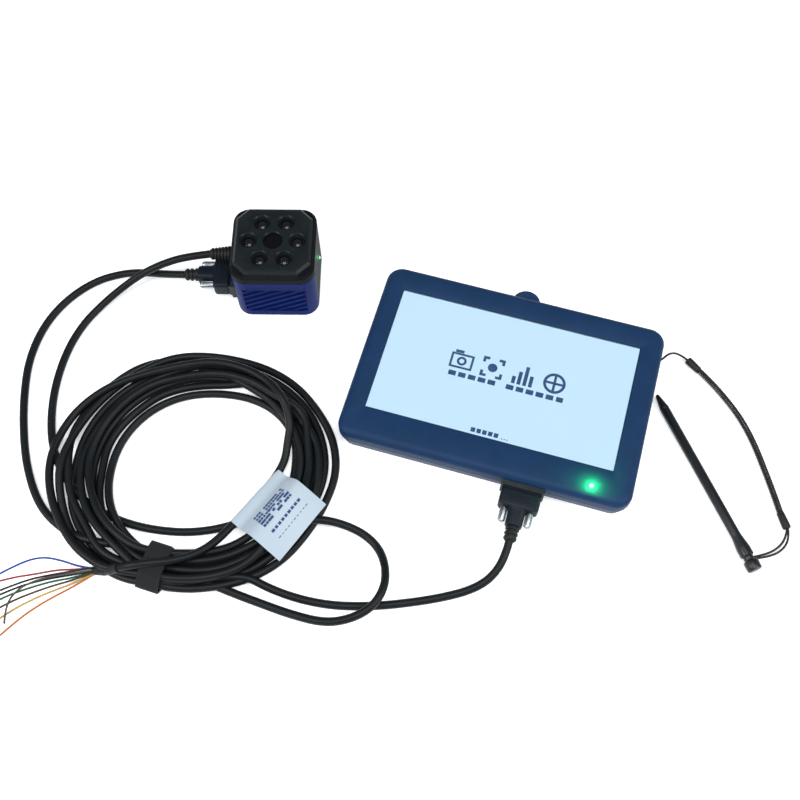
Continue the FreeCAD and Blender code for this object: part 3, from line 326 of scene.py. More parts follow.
def nurbsCurve(name, points, diameter, material, resolution=6, rounds=4):
    curve = bpy.data.curves.new(name, "CURVE")
    curve.dimensions = "3D"
    curve.resolution_u = resolution
    curve.bevel_depth = diameter / 2
    curve.bevel_resolution = rounds
    curve.use_fill_caps = True
    line = curve.splines.new("NURBS")
    line.points.add(len(points) - 1)
    for slot, place in zip(line.points, points):
        slot.co = (*place, 1)
    line.use_endpoint_u = True
    line.order_u = 3
    curve.materials.append(material)
    return addObject(name, curve)


def centreLine(points, resolution=8):
    # the smooth line through a route, read from its own spline
    obj = nurbsCurve("guideLine", [spot(*p) for p in points], 0.0, finishes["cableJacket"], resolution)
    obj.data.use_fill_caps = False
    mesh = bpy.data.meshes.new_from_object(obj)
    line = [v.co.copy() for v in mesh.vertices]
    bpy.data.objects.remove(obj)
    bpy.data.meshes.remove(mesh)
    return line


def lineLength(points):
    return sum((b - a).length for a, b in zip(points, points[1:]))


cable = {"diameter": 5.0, "lay": 4.9, "sampleStep": 3.0, "rest": 2.5, "near": 14, "rollStep": 1.5,
         "settle": 1, "stray": 0.3, "stiff": 0.5, "squeeze": 0.6}
coil = {"centre": (-42, -138), "step": 15, "edge": 2.7,
        "outside": ((-43, -134), 86, 78), "inside": ((-40.5, -141.5), 51.5, 51.5)}
laidSamples = []      # where cable already lies, for what comes on top of it


def rimDistance(rim, angle):
    (cx, cy), halfWide, halfDeep = rim
    ox, oy = (coil["centre"][0] - cx) / halfWide, (coil["centre"][1] - cy) / halfDeep
    dx, dy = math.cos(angle) / halfWide, math.sin(angle) / halfDeep
    a, b, c = dx * dx + dy * dy, ox * dx + oy * dy, ox * ox + oy * oy - 1
    return (-b + math.sqrt(b * b - a * c)) / a


def coilSpot(degrees, share):
    # share 0 is the ring's inner edge and 1 its outer edge
    angle = math.radians(degrees)
    inner = rimDistance(coil["inside"], angle) + coil["edge"]
    outer = rimDistance(coil["outside"], angle) - coil["edge"]
    reach = inner + (outer - inner) * share
    return coil["centre"][0] + reach * math.cos(angle), coil["centre"][1] + reach * math.sin(angle)


def turnSpots(keys):
    spots = []
    for (start, shareA), (end, shareB) in zip(keys, keys[1:]):
        count = max(1, round(abs(end - start) / coil["step"]))
        for index in range(count):
            t = index / count
            share = shareA + (shareB - shareA) * t * t * (3 - 2 * t)
            spots.append(coilSpot(start + (end - start) * t, share))
    spots.append(coilSpot(*keys[-1]))
    return spots


def restHeight(x, y, samples):
    height = cable["rest"]
    reach = cable["lay"] ** 2
    for px, py, pz in samples:
        gap = (px - x) ** 2 + (py - y) ** 2
        if gap < reach:
            height = max(height, pz + math.sqrt(reach - gap))
    return height


def samplesAlong(points):
    found = []
    for a, b in zip(points, points[1:]):
        a, b = Vector(a), Vector(b)
        count = max(1, int((b - a).length / cable["sampleStep"]))
        found += [tuple(a.lerp(b, i / count)) for i in range(count)]
    return found


def outsideRing(x, y):
    dx, dy = x - coil["centre"][0], y - coil["centre"][1]
    angle, reach = math.atan2(dy, dx), math.hypot(dx, dy)
    return max(0.0, rimDistance(coil["inside"], angle) + coil["edge"] - reach,
               reach - rimDistance(coil["outside"], angle) + coil["edge"])


def layDown(spots, before=(), after=(), roll=6.0):
    # each stretch rolls to the lowest place near its path, rests on what is under it, and bridges the dips
    own = list(before)
    placed = []
    ends = [tuple(p[:2]) for p in before[-1:]] + list(spots) + [tuple(p[:2]) for p in after[:1]]
    first = len(before[-1:])
    lastShift = 0.0
    reach = int(roll / cable["rollStep"])
    offsets = [k * cable["rollStep"] for k in range(-reach, reach + 1)]
    for index, (x, y) in enumerate(spots):
        ahead = ends[min(index + first + 1, len(ends) - 1)]
        behind = ends[max(index + first - 1, 0)]
        run = Vector((ahead[0] - behind[0], ahead[1] - behind[1])).normalized()
        near = [s for s in laidSamples + samplesAlong(own[:-2])
                if abs(s[0] - x) < cable["near"] and abs(s[1] - y) < cable["near"]]
        best = None
        for shift in offsets:
            px, py = x - run.y * shift, y + run.x * shift
            height = restHeight(px, py, near)
            spill = max(0.0, outsideRing(px, py) - outsideRing(x, y))
            cost = (height + cable["stray"] * abs(shift) + cable["stiff"] * abs(shift - lastShift)
                    + cable["squeeze"] * spill)
            if best is None or cost < best[0]:
                best = (cost, shift, [px, py, height])
        lastShift = best[1]
        placed.append(best[2])
        own.append(tuple(best[2]))
    for _ in range(cable["settle"]):
        heights = [p[2] for p in placed]
        if before:
            heights.insert(0, before[-1][2])
        if after:
            heights.append(after[0][2])
        shift = 1 if before else 0
        for index in range(len(placed)):
            at = index + shift
            if 0 < at < len(heights) - 1:
                placed[index][2] = max(heights[at], (heights[at - 1] + heights[at + 1]) / 2)
    return [tuple(p) for p in placed]


ioHeadRun = [(-42.9, 3, 27.5), (-59, 2, 25.6), (-75, -0.4, 20.8), (-90, -4.4, 14.4),
             (-104, -11.5, 7.8), (-116.5, -21.5, 3.4), (-127.5, -36, 2.5), (-135, -55, 2.5),
             (-138.9, -78, 2.5), (-138.7, -101, 2.5), (-134.5, -123, 3), (-124, -143, 6)]
ioEntry = [(-112, -157), (-98, -166), (-81, -173), (-62, -177), (-42, -178), (-22, -174.5), (-4, -167)]
ioTurns = [(345, 0.1), (390, 0.3), (450, 0.05), (540, 0.05), (615, 0.15), (660, 0.2), (720, 0.45),
           (810, 0.4), (900, 0.35), (975, 0.5), (1035, 0.55), (1080, 0.8), (1170, 0.72), (1260, 0.7),
           (1320, 0.85), (1335, 0.9)]
ioLoop = [(-36, -206, 5), (-18, -213.5, 4.2), (2, -220.5, 3.4), (20, -227, 4.4),
          (40, -232.5, 7.6), (55, -231, 12), (67, -224.5, 12.8), (74, -213, 12.4),
          (74.4, -199.5, 7.4), (70.6, -187.5, 3.4), (62.5, -178.8, 3), (51, -173.2, 4.4),
          (37, -170, 6.4)]
ioBack = [(21, -172.5), (4, -179.5), (-13, -188)]
ioTurnsBack = [(285, 0.2), (240, 0.5), (180, 0.55), (90, 0.6), (0, 0.62), (-60, 0.7), (-105, 0.95)]
ioLastTurn = [(-88, -202.5), (-98, -197.5), (-110, -188.5), (-121.5, -173), (-128.5, -154),
              (-132, -134), (-129.5, -115), (-119.5, -99.5), (-102.5, -86.5), (-83, -77), (-60, -71),
              (-36, -68), (-14, -74), (0, -83.5), (7.5, -92.5), (12, -102), (14, -111), (13.8, -120),
              (11.2, -131), (5.4, -142.8), (-4.6, -156.3), (-15.6, -172.4), (-27.6, -187.8), (-40, -194.6)]
ioTail = [(-51, -199.4, 15.6), (-60, -201, 17.7), (-67, -202, 18.2), (-74, -202.7, 16.8), (-81, -203, 13),
          (-88, -202.8, 7.4), (-93, -202.4, 4.5), (-97, -202, 3.1)]
dataHeadRun = [(-61.15, -4.5, 14), (-76, -2.2, 10.4), (-90, 2.4, 5.2), (-106, 3.2, 2.6),
               (-124, -3, 2.5), (-141, -17.5, 2.5), (-153, -37, 2.5), (-159, -62, 2.5),
               (-158, -88, 2.5), (-154, -114, 2.5), (-147.5, -139, 2.5), (-136, -163, 2.5),
               (-118, -178.5, 3.5), (-98, -186, 7)]
dataTurns = [(240, 0.1), (270, 0.1), (300, 0.2), (360, 0.75), (450, 0.25), (540, 0.3), (630, 0.4),
             (690, 0.3), (780, 0.35), (810, 0.55), (825, 0.85), (840, 1.08), (870, 1.0), (900, 0.95),
             (990, 0.65), (1080, 0.5), (1170, 0.62), (1260, 0.8), (1350, 0.85), (1410, 1.0),
             (1440, 1.12), (1485, 0.95), (1530, 0.9), (1620, 1.0), (1680, 0.98), (1710, 1.0)]
dataDisplayRun = [(146.54, -183.74, 11), (143.6, -194.3, 9.8), (135.2, -205.5, 6.8), (123.6, -211.6, 4.2),
                  (107.5, -215.6, 2.6), (88, -219, 2.5), (66, -221.3, 2.5), (44, -221.2, 2.5),
                  (24, -217.6, 2.6), (6, -211.5, 3.6), (-9, -204, 6)]

ioRoute = ioHeadRun + layDown(ioEntry + turnSpots(ioTurns), ioHeadRun[-1:], ioLoop[:1])
laidSamples += samplesAlong(ioRoute)
dataRoute = dataHeadRun + layDown(turnSpots(dataTurns), dataHeadRun[-1:], dataDisplayRun[-1:])
dataRoute += dataDisplayRun[::-1]
laidSamples += samplesAlong(dataRoute)
ioRoute += ioLoop
laidSamples += samplesAlong(ioLoop)
ioRoute += layDown(ioBack + turnSpots(ioTurnsBack), ioLoop[-1:])
laidSamples += samplesAlong(ioRoute[-40:])

strap = {"place": (-59.8, -200), "turn": -17.4, "half": 7.0, "reach": 17.0, "gather": 1.5, "inner": 2.6,
         "outer": 3.5, "steps": 72, "flap": (40, 150), "flapOuter": 4.4, "flapSteps": 24}
strapRun = Vector((math.cos(math.radians(strap["turn"])), math.sin(math.radians(strap["turn"])), 0))
strapAcross = Vector((-strapRun.y, strapRun.x, 0))
strapPlace = Vector((*strap["place"], 0))
# what the strap holds: every cable but the last turn, which lies over it
strapSection = []
for sample in laidSamples:
    away = Vector((sample[0], sample[1], 0)) - strapPlace
    along, across = away.dot(strapRun), away.dot(strapAcross)
    if abs(along) < strap["half"] + strap["gather"] and abs(across) < strap["reach"]:
        strapSection.append((across, sample[2]))


def strapPoint(degrees, offset, along):
    # on the hull of the cables that the strap holds
    aim = (math.cos(math.radians(degrees)), math.sin(math.radians(degrees)))
    far = max(strapSection, key=lambda s: s[0] * aim[0] + s[1] * aim[1])
    place = strapPlace + strapRun * along + strapAcross * (far[0] + aim[0] * offset)
    floorGap = 0.1 + 0.3 * (strap["outer"] - offset)
    return spot(place.x, place.y, max(floorGap, far[1] + aim[1] * offset))


# the strap's top carries the last turn
for along in (-strap["half"] + 1, 0, strap["half"] - 1):
    for angle in range(30, 151, 8):
        top = strapPoint(angle, strap["flapOuter"], along) / mm
        laidSamples.append((top.x, top.y, top.z + cable["rest"] - cable["lay"]))
ioRoute += layDown(ioLastTurn, ioRoute[-1:], ioTail[:1], 1.5) + ioTail
for name, laid in (("ioCable", ioRoute[len(ioHeadRun):]), ("dataCable", dataRoute[len(dataHeadRun):])):
    print(name, "highest in the coil, mm:", round(max(p[2] for p in laid), 1))

ioCable = nurbsCurve("ioCable", [spot(*p) for p in ioRoute], cable["diameter"] * mm, finishes["cableJacket"])
dataCable = nurbsCurve("dataCable", [spot(*p) for p in dataRoute], cable["diameter"] * mm,
                       finishes["cableJacket"])
keepPiece(ioCable, "kit", "io_cable_head_run", "io_cable_loop", "cable_coil")
keepPiece(dataCable, "kit", "data_cable_head_run", "data_cable_display_run")
for cordPiece, route in ((ioCable, ioRoute), (dataCable, dataRoute)):
    print(cordPiece.name, "length", round(lineLength(centreLine(route)), 3))

wires = {
    "wire_blue": ("blue", [(-97.5, -200.4, 1.5), (-107, -199.2, 0.8), (-118, -195.4, 0.6),
                           (-130, -193.2, 0.6), (-142, -196.6, 0.6), (-155, -204.6, 0.6)]),
    "wire_red": ("red", [(-97.5, -200.4, 2.8), (-108, -200.9, 1.4), (-120, -201.1, 0.6),
                         (-133, -203.9, 0.6), (-147, -206.2, 0.6), (-162, -211, 0.6)]),
    "wire_black": ("black", [(-97.5, -200.4, 4.1), (-109, -202.3, 3), (-122, -203.9, 0.7),
                             (-135, -206.8, 0.6), (-147, -211.6, 0.6), (-161, -217.8, 0.6)]),
    "wire_black_second": ("black", [(-97.5, -202, 2.8), (-109, -204.2, 1.8), (-122, -206, 0.6),
                                    (-136, -209.5, 0.6), (-148, -214.6, 0.6), (-162, -221.5, 0.6)]),
    "wire_green": ("green", [(-97.5, -202, 1.5), (-109, -205.8, 0.8), (-122, -208, 0.6),
                             (-136, -212.6, 0.6), (-149, -217.6, 0.6), (-162, -226, 0.6)]),
    "wire_brown": ("brown", [(-97.5, -203.6, 4.1), (-109, -207.8, 2.8), (-121, -210.6, 0.7),
                             (-134, -215.6, 0.6), (-146, -221.2, 0.6), (-159, -229.4, 0.6)]),
    "wire_yellow": ("yellow", [(-97.5, -203.6, 2.8), (-108.5, -209.2, 1.4), (-120, -213.4, 0.6),
                               (-132, -219, 0.6), (-143, -225.6, 0.6), (-155, -234.6, 0.6)]),
    "wire_orange": ("orange", [(-97.5, -203.6, 1.5), (-107.5, -210.4, 0.8), (-118, -216.2, 0.6),
                               (-128.5, -223, 0.6), (-138.5, -231, 0.6), (-148, -241, 0.6)]),
    "wire_grey": ("grey", [(-97.5, -202, 4.1), (-110, -204.6, 5.4), (-124, -207, 5.6), (-136, -211.4, 5.2),
                           (-143, -218, 4.8), (-145.6, -226, 3.4), (-145.8, -233.5, 0.8)]),
}
wireDiameter = 1.2
for node, (colour, points) in wires.items():
    piece = nurbsCurve(camelName(node, "_"), [spot(*p) for p in points], wireDiameter * mm,
                       finishes[colour + "Wire"], 6, 3)
    keepPiece(piece, "kit", node)
    length = lineLength(centreLine(points))
print("wires laid:", len(wires))

tether = {
    "cord": [(240.6, -67.97, 14), (245.6, -65.4, 14.4), (252.4, -58.4, 12), (260.2, -56.2, 6.4),
             (266.2, -59, 2.8)],
    "coil": [(272.2, -65.8, 2.5), (278, -72.4, 2.3), (286.6, -84.6, 2.2), (294.6, -98.4, 2.2),
             (300.6, -114, 2.2), (305.2, -133, 2.2), (309, -150.6, 2.3), (311, -162, 2.5)],
    "loop": [(313.6, -171, 2.5), (312.6, -176.6, 1.6), (307.6, -182.8, 1), (299.5, -187.2, 1.6),
             (291.4, -189.4, 3.8)],
    "twin": [(314, -171, 3.2), (314, -177.8, 2.6), (309, -185, 2), (300.2, -189, 2.2), (291.4, -190.6, 4.2)],
    "diameter": 1.4, "wire": 1.1, "coilRadius": 1.6, "pitch": 1.25, "perTurn": 8,
}


def helixAlong(line, radius, pitch, perTurn):
    # a curly cord's points, wound round a smooth line
    total = lineLength(line)
    count = int(total / pitch * perTurn)
    spots, travelled, index = [], 0.0, 0
    normal = Vector((0, 0, 1))
    for step in range(count + 1):
        goal = total * step / count
        while index < len(line) - 2 and travelled + (line[index + 1] - line[index]).length < goal:
            travelled += (line[index + 1] - line[index]).length
            index += 1
        run = line[index + 1] - line[index]
        place = line[index].lerp(line[index + 1], min(1.0, (goal - travelled) / run.length))
        side = run.normalized().cross(normal).normalized()
        up = side.cross(run.normalized()).normalized()
        angle = 2 * math.pi * step / perTurn
        spots.append(place + side * math.cos(angle) * radius + up * math.sin(angle) * radius)
    return spots


def tetherStrand(route, node):
    piece = nurbsCurve("tether" + route.capitalize(), [spot(*p) for p in tether[route]],
                       tether["diameter"] * mm, finishes["tetherJacket"])
    return keepPiece(piece, "kit", node)


curlyLine = centreLine(tether["coil"], 12)
curlyPoints = helixAlong(curlyLine, tether["coilRadius"] * mm, tether["pitch"] * mm, tether["perTurn"])
curly = nurbsCurve("tetherCurly", curlyPoints, tether["wire"] * mm, finishes["tetherJacket"], 3, 2)
keepPiece(curly, "kit", "tether_coil")
tetherCord = tetherStrand("cord", "tether_cord")
tetherLoop = tetherStrand("loop", "tether_loop")
tetherTwin = tetherStrand("twin", "tether_loop")
print("cords laid")


def bridge(made, loops, closed=False):
    # walls from ring to ring; a ring of one point is a tip, and open ends are capped
    rings = [[made.verts.new(p) for p in loop] for loop in loops]
    pairs = list(zip(rings, rings[1:])) + ([(rings[-1], rings[0])] if closed else [])
    for low, high in pairs:
        for k in range(max(len(low), len(high))):
            corners = [low[k % len(low)], low[(k + 1) % len(low)], high[(k + 1) % len(high)],
                       high[k % len(high)]]
            corners = list(dict.fromkeys(corners))
            if len(corners) > 2:
                made.faces.new(corners)
    if not closed:
        for ring in (rings[0], rings[-1]):
            if len(ring) > 2:
                made.faces.new(ring)


def turnedRings(profile, sides=40):
    rings = []
    for along, radius in profile:
        angles = [2 * math.pi * k / sides for k in range(sides)] if radius else [0.0]
        rings.append([(radius * mm * math.cos(a), radius * mm * math.sin(a), along * mm) for a in angles])
    return rings


def roundedRing(wide, deep, corner, level, x=0.0, y=0.0, steps=7):
    spots = []
    for turn, (sx, sy) in enumerate(((1, 1), (-1, 1), (-1, -1), (1, -1))):
        for k in range(steps + 1):
            angle = math.radians(90 * (turn + k / steps))
            spots.append(spot(x + sx * (wide / 2 - corner) + corner * math.cos(angle),
                              y + sy * (deep / 2 - corner) + corner * math.sin(angle), level))
    return spots


def frameAlong(place, run):
    # a corner whose Z runs along the piece and whose Y stays closest to up
    ahead = Vector(run).normalized()
    across = Vector((0, 0, 1)).cross(ahead).normalized()
    return Matrix.Translation(place) @ Matrix((across, ahead.cross(across), ahead)).transposed().to_4x4()


def closePiece(name, made, material, place=None, sharp=32):
    # joins the points, faces the normals out and smooths all but the sharp edges
    bmesh.ops.remove_doubles(made, verts=made.verts, dist=0.002 * mm)
    bmesh.ops.recalc_face_normals(made, faces=made.faces)
    if place is not None:
        made.transform(place)
    mesh = bpy.data.meshes.new(name)
    made.to_mesh(mesh)
    made.free()
    mesh.shade_smooth()
    mesh.set_sharp_from_angle(angle=math.radians(sharp))
    mesh.materials.append(material)
    return addObject(name, mesh)


def ringsPiece(name, loops, material, place=None, closed=False, sharp=32):
    made = bmesh.new()
    bridge(made, loops, closed)
    return closePiece(name, made, material, place, sharp)


def joinPieces(name, pieces):
    # one mesh from several, each keeping its own finish
    made, materials = bmesh.new(), []
    for piece in pieces:
        known = len(made.faces)
        made.from_mesh(piece.data)
        if piece.data.materials[0] not in materials:
            materials.append(piece.data.materials[0])
        made.faces.ensure_lookup_table()
        for face in made.faces[known:]:
            face.material_index = materials.index(piece.data.materials[0])
    mesh = bpy.data.meshes.new(name)
    made.to_mesh(mesh)
    made.free()
    for material in materials:
        mesh.materials.append(material)
    for piece in pieces:
        bpy.data.objects.remove(piece)
    return addObject(name, mesh)


def finishTree(tree, points, given, out, rotation=None, scale=None, keep=None):
    seed = treeNode(tree, "GeometryNodeObjectInfo", {"Object": given["Piece"], "As Instance": True})
    links = {"Points": points, "Instance": seed.outputs["Geometry"]}
    for key, value in (("Rotation", rotation), ("Scale", scale), ("Selection", keep)):
        if value is not None:
            links[key] = value
    spread = treeNode(tree, "GeometryNodeInstanceOnPoints", links)
    real = treeNode(tree, "GeometryNodeRealizeInstances", {"Geometry": spread.outputs["Instances"]})
    painted = treeNode(tree, "GeometryNodeSetMaterial", {
        "Geometry": real.outputs["Geometry"], "Material": given["Finish"]})
    tree.links.new(painted.outputs["Geometry"], out["Geometry"])


def buildRingTree():
    # copies of a piece evenly round a circle, each turned to face out
    tree, given, out = makeTree("ring of pieces", "Geometry", [
        ("Piece", "Object", None), ("Count", "Int", 6), ("Radius", "Float", 0.01),
        ("Finish", "Material", None)], [("Geometry", "Geometry")])
    circle = treeNode(tree, "GeometryNodeMeshCircle", {"Vertices": given["Count"], "Radius": given["Radius"]})
    index = treeNode(tree, "GeometryNodeInputIndex", {}).outputs[0]
    angle = mathNode(tree, "DIVIDE", mathNode(tree, "MULTIPLY", index, 2 * math.pi), given["Count"])
    turn = treeNode(tree, "ShaderNodeCombineXYZ", {"Z": angle}).outputs[0]
    finishTree(tree, circle.outputs["Mesh"], given, out, rotation=turn)
    return tree


def buildRowsTree():
    # rows of small marks, some left out and some longer than others
    tree, given, out = makeTree("rows of marks", "Geometry", [
        ("Piece", "Object", None), ("Columns", "Int", 5), ("Rows", "Int", 1),
        ("Column Step", "Float", 0.002), ("Row Step", "Float", 0.002), ("Keep", "Float", 1.0),
        ("Vary", "Float", 0.0), ("Seed", "Int", 1),
        ("Finish", "Material", None)], [("Geometry", "Geometry")])
    index = treeNode(tree, "GeometryNodeInputIndex", {}).outputs[0]
    column = mathNode(tree, "MODULO", index, given["Columns"])
    row = mathNode(tree, "FLOOR", mathNode(tree, "DIVIDE", index, given["Columns"]), 0.0)
    where = treeNode(tree, "ShaderNodeCombineXYZ", {
        "X": mathNode(tree, "MULTIPLY", column, given["Column Step"]),
        "Y": mathNode(tree, "MULTIPLY", row, given["Row Step"])}).outputs[0]
    points = treeNode(tree, "GeometryNodePoints", {
        "Count": mathNode(tree, "MULTIPLY", given["Columns"], given["Rows"]), "Position": where})
    kept = treeNode(tree, "FunctionNodeRandomValue", {"Probability": given["Keep"], "Seed": given["Seed"]},
                    data_type="BOOLEAN")
    longer = treeNode(tree, "FunctionNodeRandomValue", {
        2: mathNode(tree, "SUBTRACT", 1.0, given["Vary"]), 3: mathNode(tree, "ADD", 1.0, given["Vary"]),
        "Seed": given["Seed"]}, data_type="FLOAT")
    size = treeNode(tree, "ShaderNodeCombineXYZ", {"X": longer.outputs[1], "Y": 1.0, "Z": 1.0}).outputs[0]
    finishTree(tree, points.outputs["Points"], given, out, scale=size, keep=kept.outputs[3])
    return tree


ringTree, rowsTree = buildRingTree(), buildRowsTree()


def growPiece(name, tree, values):
    # runs a geometry tree and keeps its result as a plain mesh
    holder = addObject(name, bpy.data.meshes.new(name + "Seed"))
    modifier = holder.modifiers.new("grow", "NODES")
    modifier.node_group = tree
    for item in tree.interface.items_tree:
        if item.in_out == "INPUT":
            modifier[item.identifier] = values[item.name]
    bpy.context.view_layer.update()
    mesh = bpy.data.meshes.new_from_object(holder.evaluated_get(bpy.context.evaluated_depsgraph_get()))
    holder.modifiers.remove(modifier)
    holder.data = mesh
    bpy.data.objects.remove(values["Piece"])
    return holder


def highest(node):
    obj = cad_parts[node]
    return max((obj.matrix_world @ v.co).z for v in obj.data.vertices)


# camera head

ledLens = {"count": 6, "ring": 15.4, "profile": [
    (-4.0, 0), (-4.0, 4.2), (-1.5, 4.25), (-1.2, 4.0), (-1.15, 3.5), (-1.0, 3.35), (-0.62, 2.75),
    (-0.3, 2.0), (-0.1, 1.2), (0, 0)]}
# the lens domes are dark and glossy all through, painting the shade over the chips
lensSeed = ringsPiece("ledLensSeed", turnedRings(ledLens["profile"]), finishes["smokedLens"], sharp=24)
ledLenses = growPiece("ledLenses", ringTree, {
    "Piece": lensSeed, "Count": ledLens["count"], "Radius": ledLens["ring"] * mm,
    "Finish": finishes["smokedLens"]})
ledLenses.data.transform(Matrix.Translation((0, 0, highest("led_lenses"))))
keepPiece(ledLenses, "kit", "led_lenses")

gland = {"place": (-26.75, 3, 27.5), "collar": 5.7, "root": 5.2, "tip": 3.9, "ribs": 6, "first": 2.6,
         "step": 2.15, "rib": [(0, -0.85), (0.35, -0.85), (0.5, -0.15), (0.75, 0), (1.6, 0), (1.85, -0.15)],
         "mouth": [(-0.5, 3.2), (0.2, 2.9), (0.4, 2.4), (0.4, 0)]}
glandRun = spot(*ioRoute[0]) - spot(*gland["place"])
glandProfile = [(-0.4, 0), (-0.4, gland["collar"]), (1.9, gland["collar"]), (2.3, gland["collar"] - 0.4)]
for rib in range(gland["ribs"]):
    start = gland["first"] + rib * gland["step"]
    radius = gland["root"] + (gland["tip"] - gland["root"]) * rib / (gland["ribs"] - 1)
    glandProfile += [(start + along, radius + out) for along, out in gland["rib"]]
glandProfile += [(glandRun.length / mm + along, radius) for along, radius in gland["mouth"]]
ioRelief = ringsPiece("ioRelief", turnedRings(glandProfile), finishes["reliefRubber"],
                      frameAlong(spot(*gland["place"]), glandRun))
keepPiece(ioRelief, "kit", "io_cable_relief")

statusLight = {"profile": [(-0.8, 0), (-0.8, 1.0), (0, 1.0), (0.25, 0.85), (0.42, 0.45), (0.46, 0)],
               "sides": 24, "head": (26.75, 9, 15), "display": (66, -53.5), "displayTimes": 1.5,
               "displaySunk": 0.3}
headLight = ringsPiece("headLight", turnedRings(statusLight["profile"], statusLight["sides"]),
                       finishes["greenLight"], frameAlong(spot(*statusLight["head"]), (1, 0, 0)))
keepPiece(headLight, "kit", "head_status_light")
print("camera head made")

# plugs and their thumbscrews

plug = {"hood": [(23.0, 10.6, 1.6, 4.6), (24.2, 11.8, 2.0, 5.1), (24.4, 12.0, 2.1, 5.8),
                 (24.4, 12.0, 2.1, 12.6), (23.9, 11.8, 2.3, 13.7), (22.4, 11.4, 2.6, 14.4),
                 (15.0, 11.0, 3.0, 14.7), (11.4, 10.7, 3.2, 15.4), (10.5, 10.5, 3.3, 16.6),
                 (10.2, 10.4, 3.4, 24.2), (9.9, 10.0, 3.6, 25.1), (8.6, 8.8, 3.8, 25.6)],
        "ribOut": 6.0, "ribWide": 13.0, "ribs": (6.9, 8.7, 10.5), "screwOut": 7.8,
        "rib": [(0.5, 0.2, -0.45), (1.0, 0.3, -0.2), (1.0, 0.3, 0.2), (0.5, 0.2, 0.45)],
        "relief": [(25.2, 0), (25.2, 3.9), (26.0, 4.2), (27.4, 4.25), (27.7, 4.0), (27.9, 3.3),
                   (28.9, 3.3), (29.1, 3.95), (29.4, 4.15), (30.4, 4.15), (30.7, 3.9), (30.9, 3.25),
                   (31.7, 3.2), (31.9, 3.8), (32.2, 4.0), (33.2, 4.0), (33.6, 3.8), (34.2, 3.3),
                   (34.6, 2.8), (34.6, 0)],
        "head": {"place": (-26.75, -4.5, 14), "outward": (-1, 0, 0)},
        "display": {"place": (155.731, -150.594, 11), "outward": (-0.26724, -0.96363, 0)}}
thumbscrew = {"shank": [(-3.5, 0), (-3.5, 0.9), (-3.0, 1.3), (15.0, 1.3), (15.0, 1.7), (15.3, 2.0),
                        (23.2, 2.0), (23.7, 1.7), (23.9, 1.3), (23.9, 0.5), (23.3, 0.45), (23.3, 0)],
              "ridge": [(0.5, 0.36, 0.12, 15.5), (0.56, 0.42, 0.12, 15.7), (0.56, 0.42, 0.12, 22.8),
                        (0.5, 0.36, 0.12, 23.0)],
              "ridges": 18, "reach": 1.98}


def makePlug(name, screws):
    corner = frameAlong(spot(*plug[name]["place"]), plug[name]["outward"])
    made = bmesh.new()
    bridge(made, [roundedRing(*ring) for ring in plug["hood"]])
    for side in (-1, 1):
        for level in plug["ribs"]:
            bridge(made, [roundedRing(plug["ribWide"], deep, bend, level + rise, 0, side * plug["ribOut"])
                          for deep, bend, rise in plug["rib"]])
    hood = closePiece(name + "PlugHood", made, finishes["plugHood"], corner)
    keepPiece(hood, "kit", name + "_plug_hood")
    relief = ringsPiece(name + "PlugRelief", turnedRings(plug["relief"]), finishes["reliefRubber"], corner)
    keepPiece(relief, "kit", name + "_plug_relief")
    steel = finishes["platedSteel"]
    for side, label in screws:
        seed = ringsPiece("ridgeSeed", [roundedRing(*ring, steps=2) for ring in thumbscrew["ridge"]], steel)
        ridges = growPiece("ridges", ringTree, {"Piece": seed, "Count": thumbscrew["ridges"],
                                                "Radius": thumbscrew["reach"] * mm, "Finish": steel})
        seat = corner @ Matrix.Translation(spot(side * plug["screwOut"], 0, 0))
        ridges.data.transform(seat)
        shank = ringsPiece("shank", turnedRings(thumbscrew["shank"]), steel, seat)
        keepPiece(joinPieces(name + "Thumbscrew" + label.capitalize(), [shank, ridges]),
                  name + "_screw_" + label, name + "_plug_screw_" + label)
    return hood, relief


makePlug("head", ((-1, "upper"), (1, "lower")))
displayPlugHood, displayPlugRelief = makePlug("display", ((-1, "left"), (1, "right")))
print("plugs made")

# display

display = {"wide": 182, "deep": 124, "corner": 10, "cornerShare": 0.8, "window": (154.2, 86, -0.5, 2.4),
           "windowCorner": 0.5, "steps": 10,
           "rim": [(0.35, 17.6), (0.05, 17.85), (0, 18.2), (0.25, 19.2), (0.8, 20.15), (1.6, 20.95),
                   (2.6, 21.55), (3.8, 21.9), (5.2, 22.0)],
           "opening": [(0.9, 22.0), (0.35, 21.75), (0.02, 21.3), (0.02, 19.7), (0.3, 17.6)],
           "sheet": [(0.1, 20.2), (0.1, 20.6), (0.3, 20.8)]}
windowWide, windowDeep, windowX, windowY = display["window"]
bezelLoops = [roundedRing(display["wide"] - 2 * inset, display["deep"] - 2 * inset,
                          display["corner"] - inset * display["cornerShare"], level, steps=display["steps"])
              for inset, level in display["rim"]]
bezelLoops += [roundedRing(windowWide + 2 * gap, windowDeep + 2 * gap, display["windowCorner"] + gap, level,
                           windowX, windowY, steps=display["steps"]) for gap, level in display["opening"]]
frontBezel = ringsPiece("frontBezel", bezelLoops, finishes["displayShell"], displayMatrix, closed=True,
                        sharp=40)
keepPiece(frontBezel, "kit", "front_bezel")
sheetLoops = [roundedRing(windowWide - 2 * gap, windowDeep - 2 * gap, display["windowCorner"], level,
                          windowX, windowY) for gap, level in display["sheet"]]
coverSheet = ringsPiece("coverSheet", sheetLoops, finishes["coverGlass"], displayMatrix)
keepPiece(coverSheet, "kit", "touch_panel")

marks = {"level": (19.63, 19.7), "iconRow": 7.0, "columns": (-28.8, -9.1, 10.6, 30.3),
         "bars": (5.0, 9.0, 13.4, 7.6), "bracket": ((7, 7), (3, 7), (3, 5.2), (5.2, 5.2), (5.2, 3), (7, 3))}
quarters = ((1, 1), (-1, 1), (-1, -1), (1, -1))


def flatShape(made, spots):
    bridge(made, [[spot(x, y, level) for x, y in spots] for level in marks["level"]])


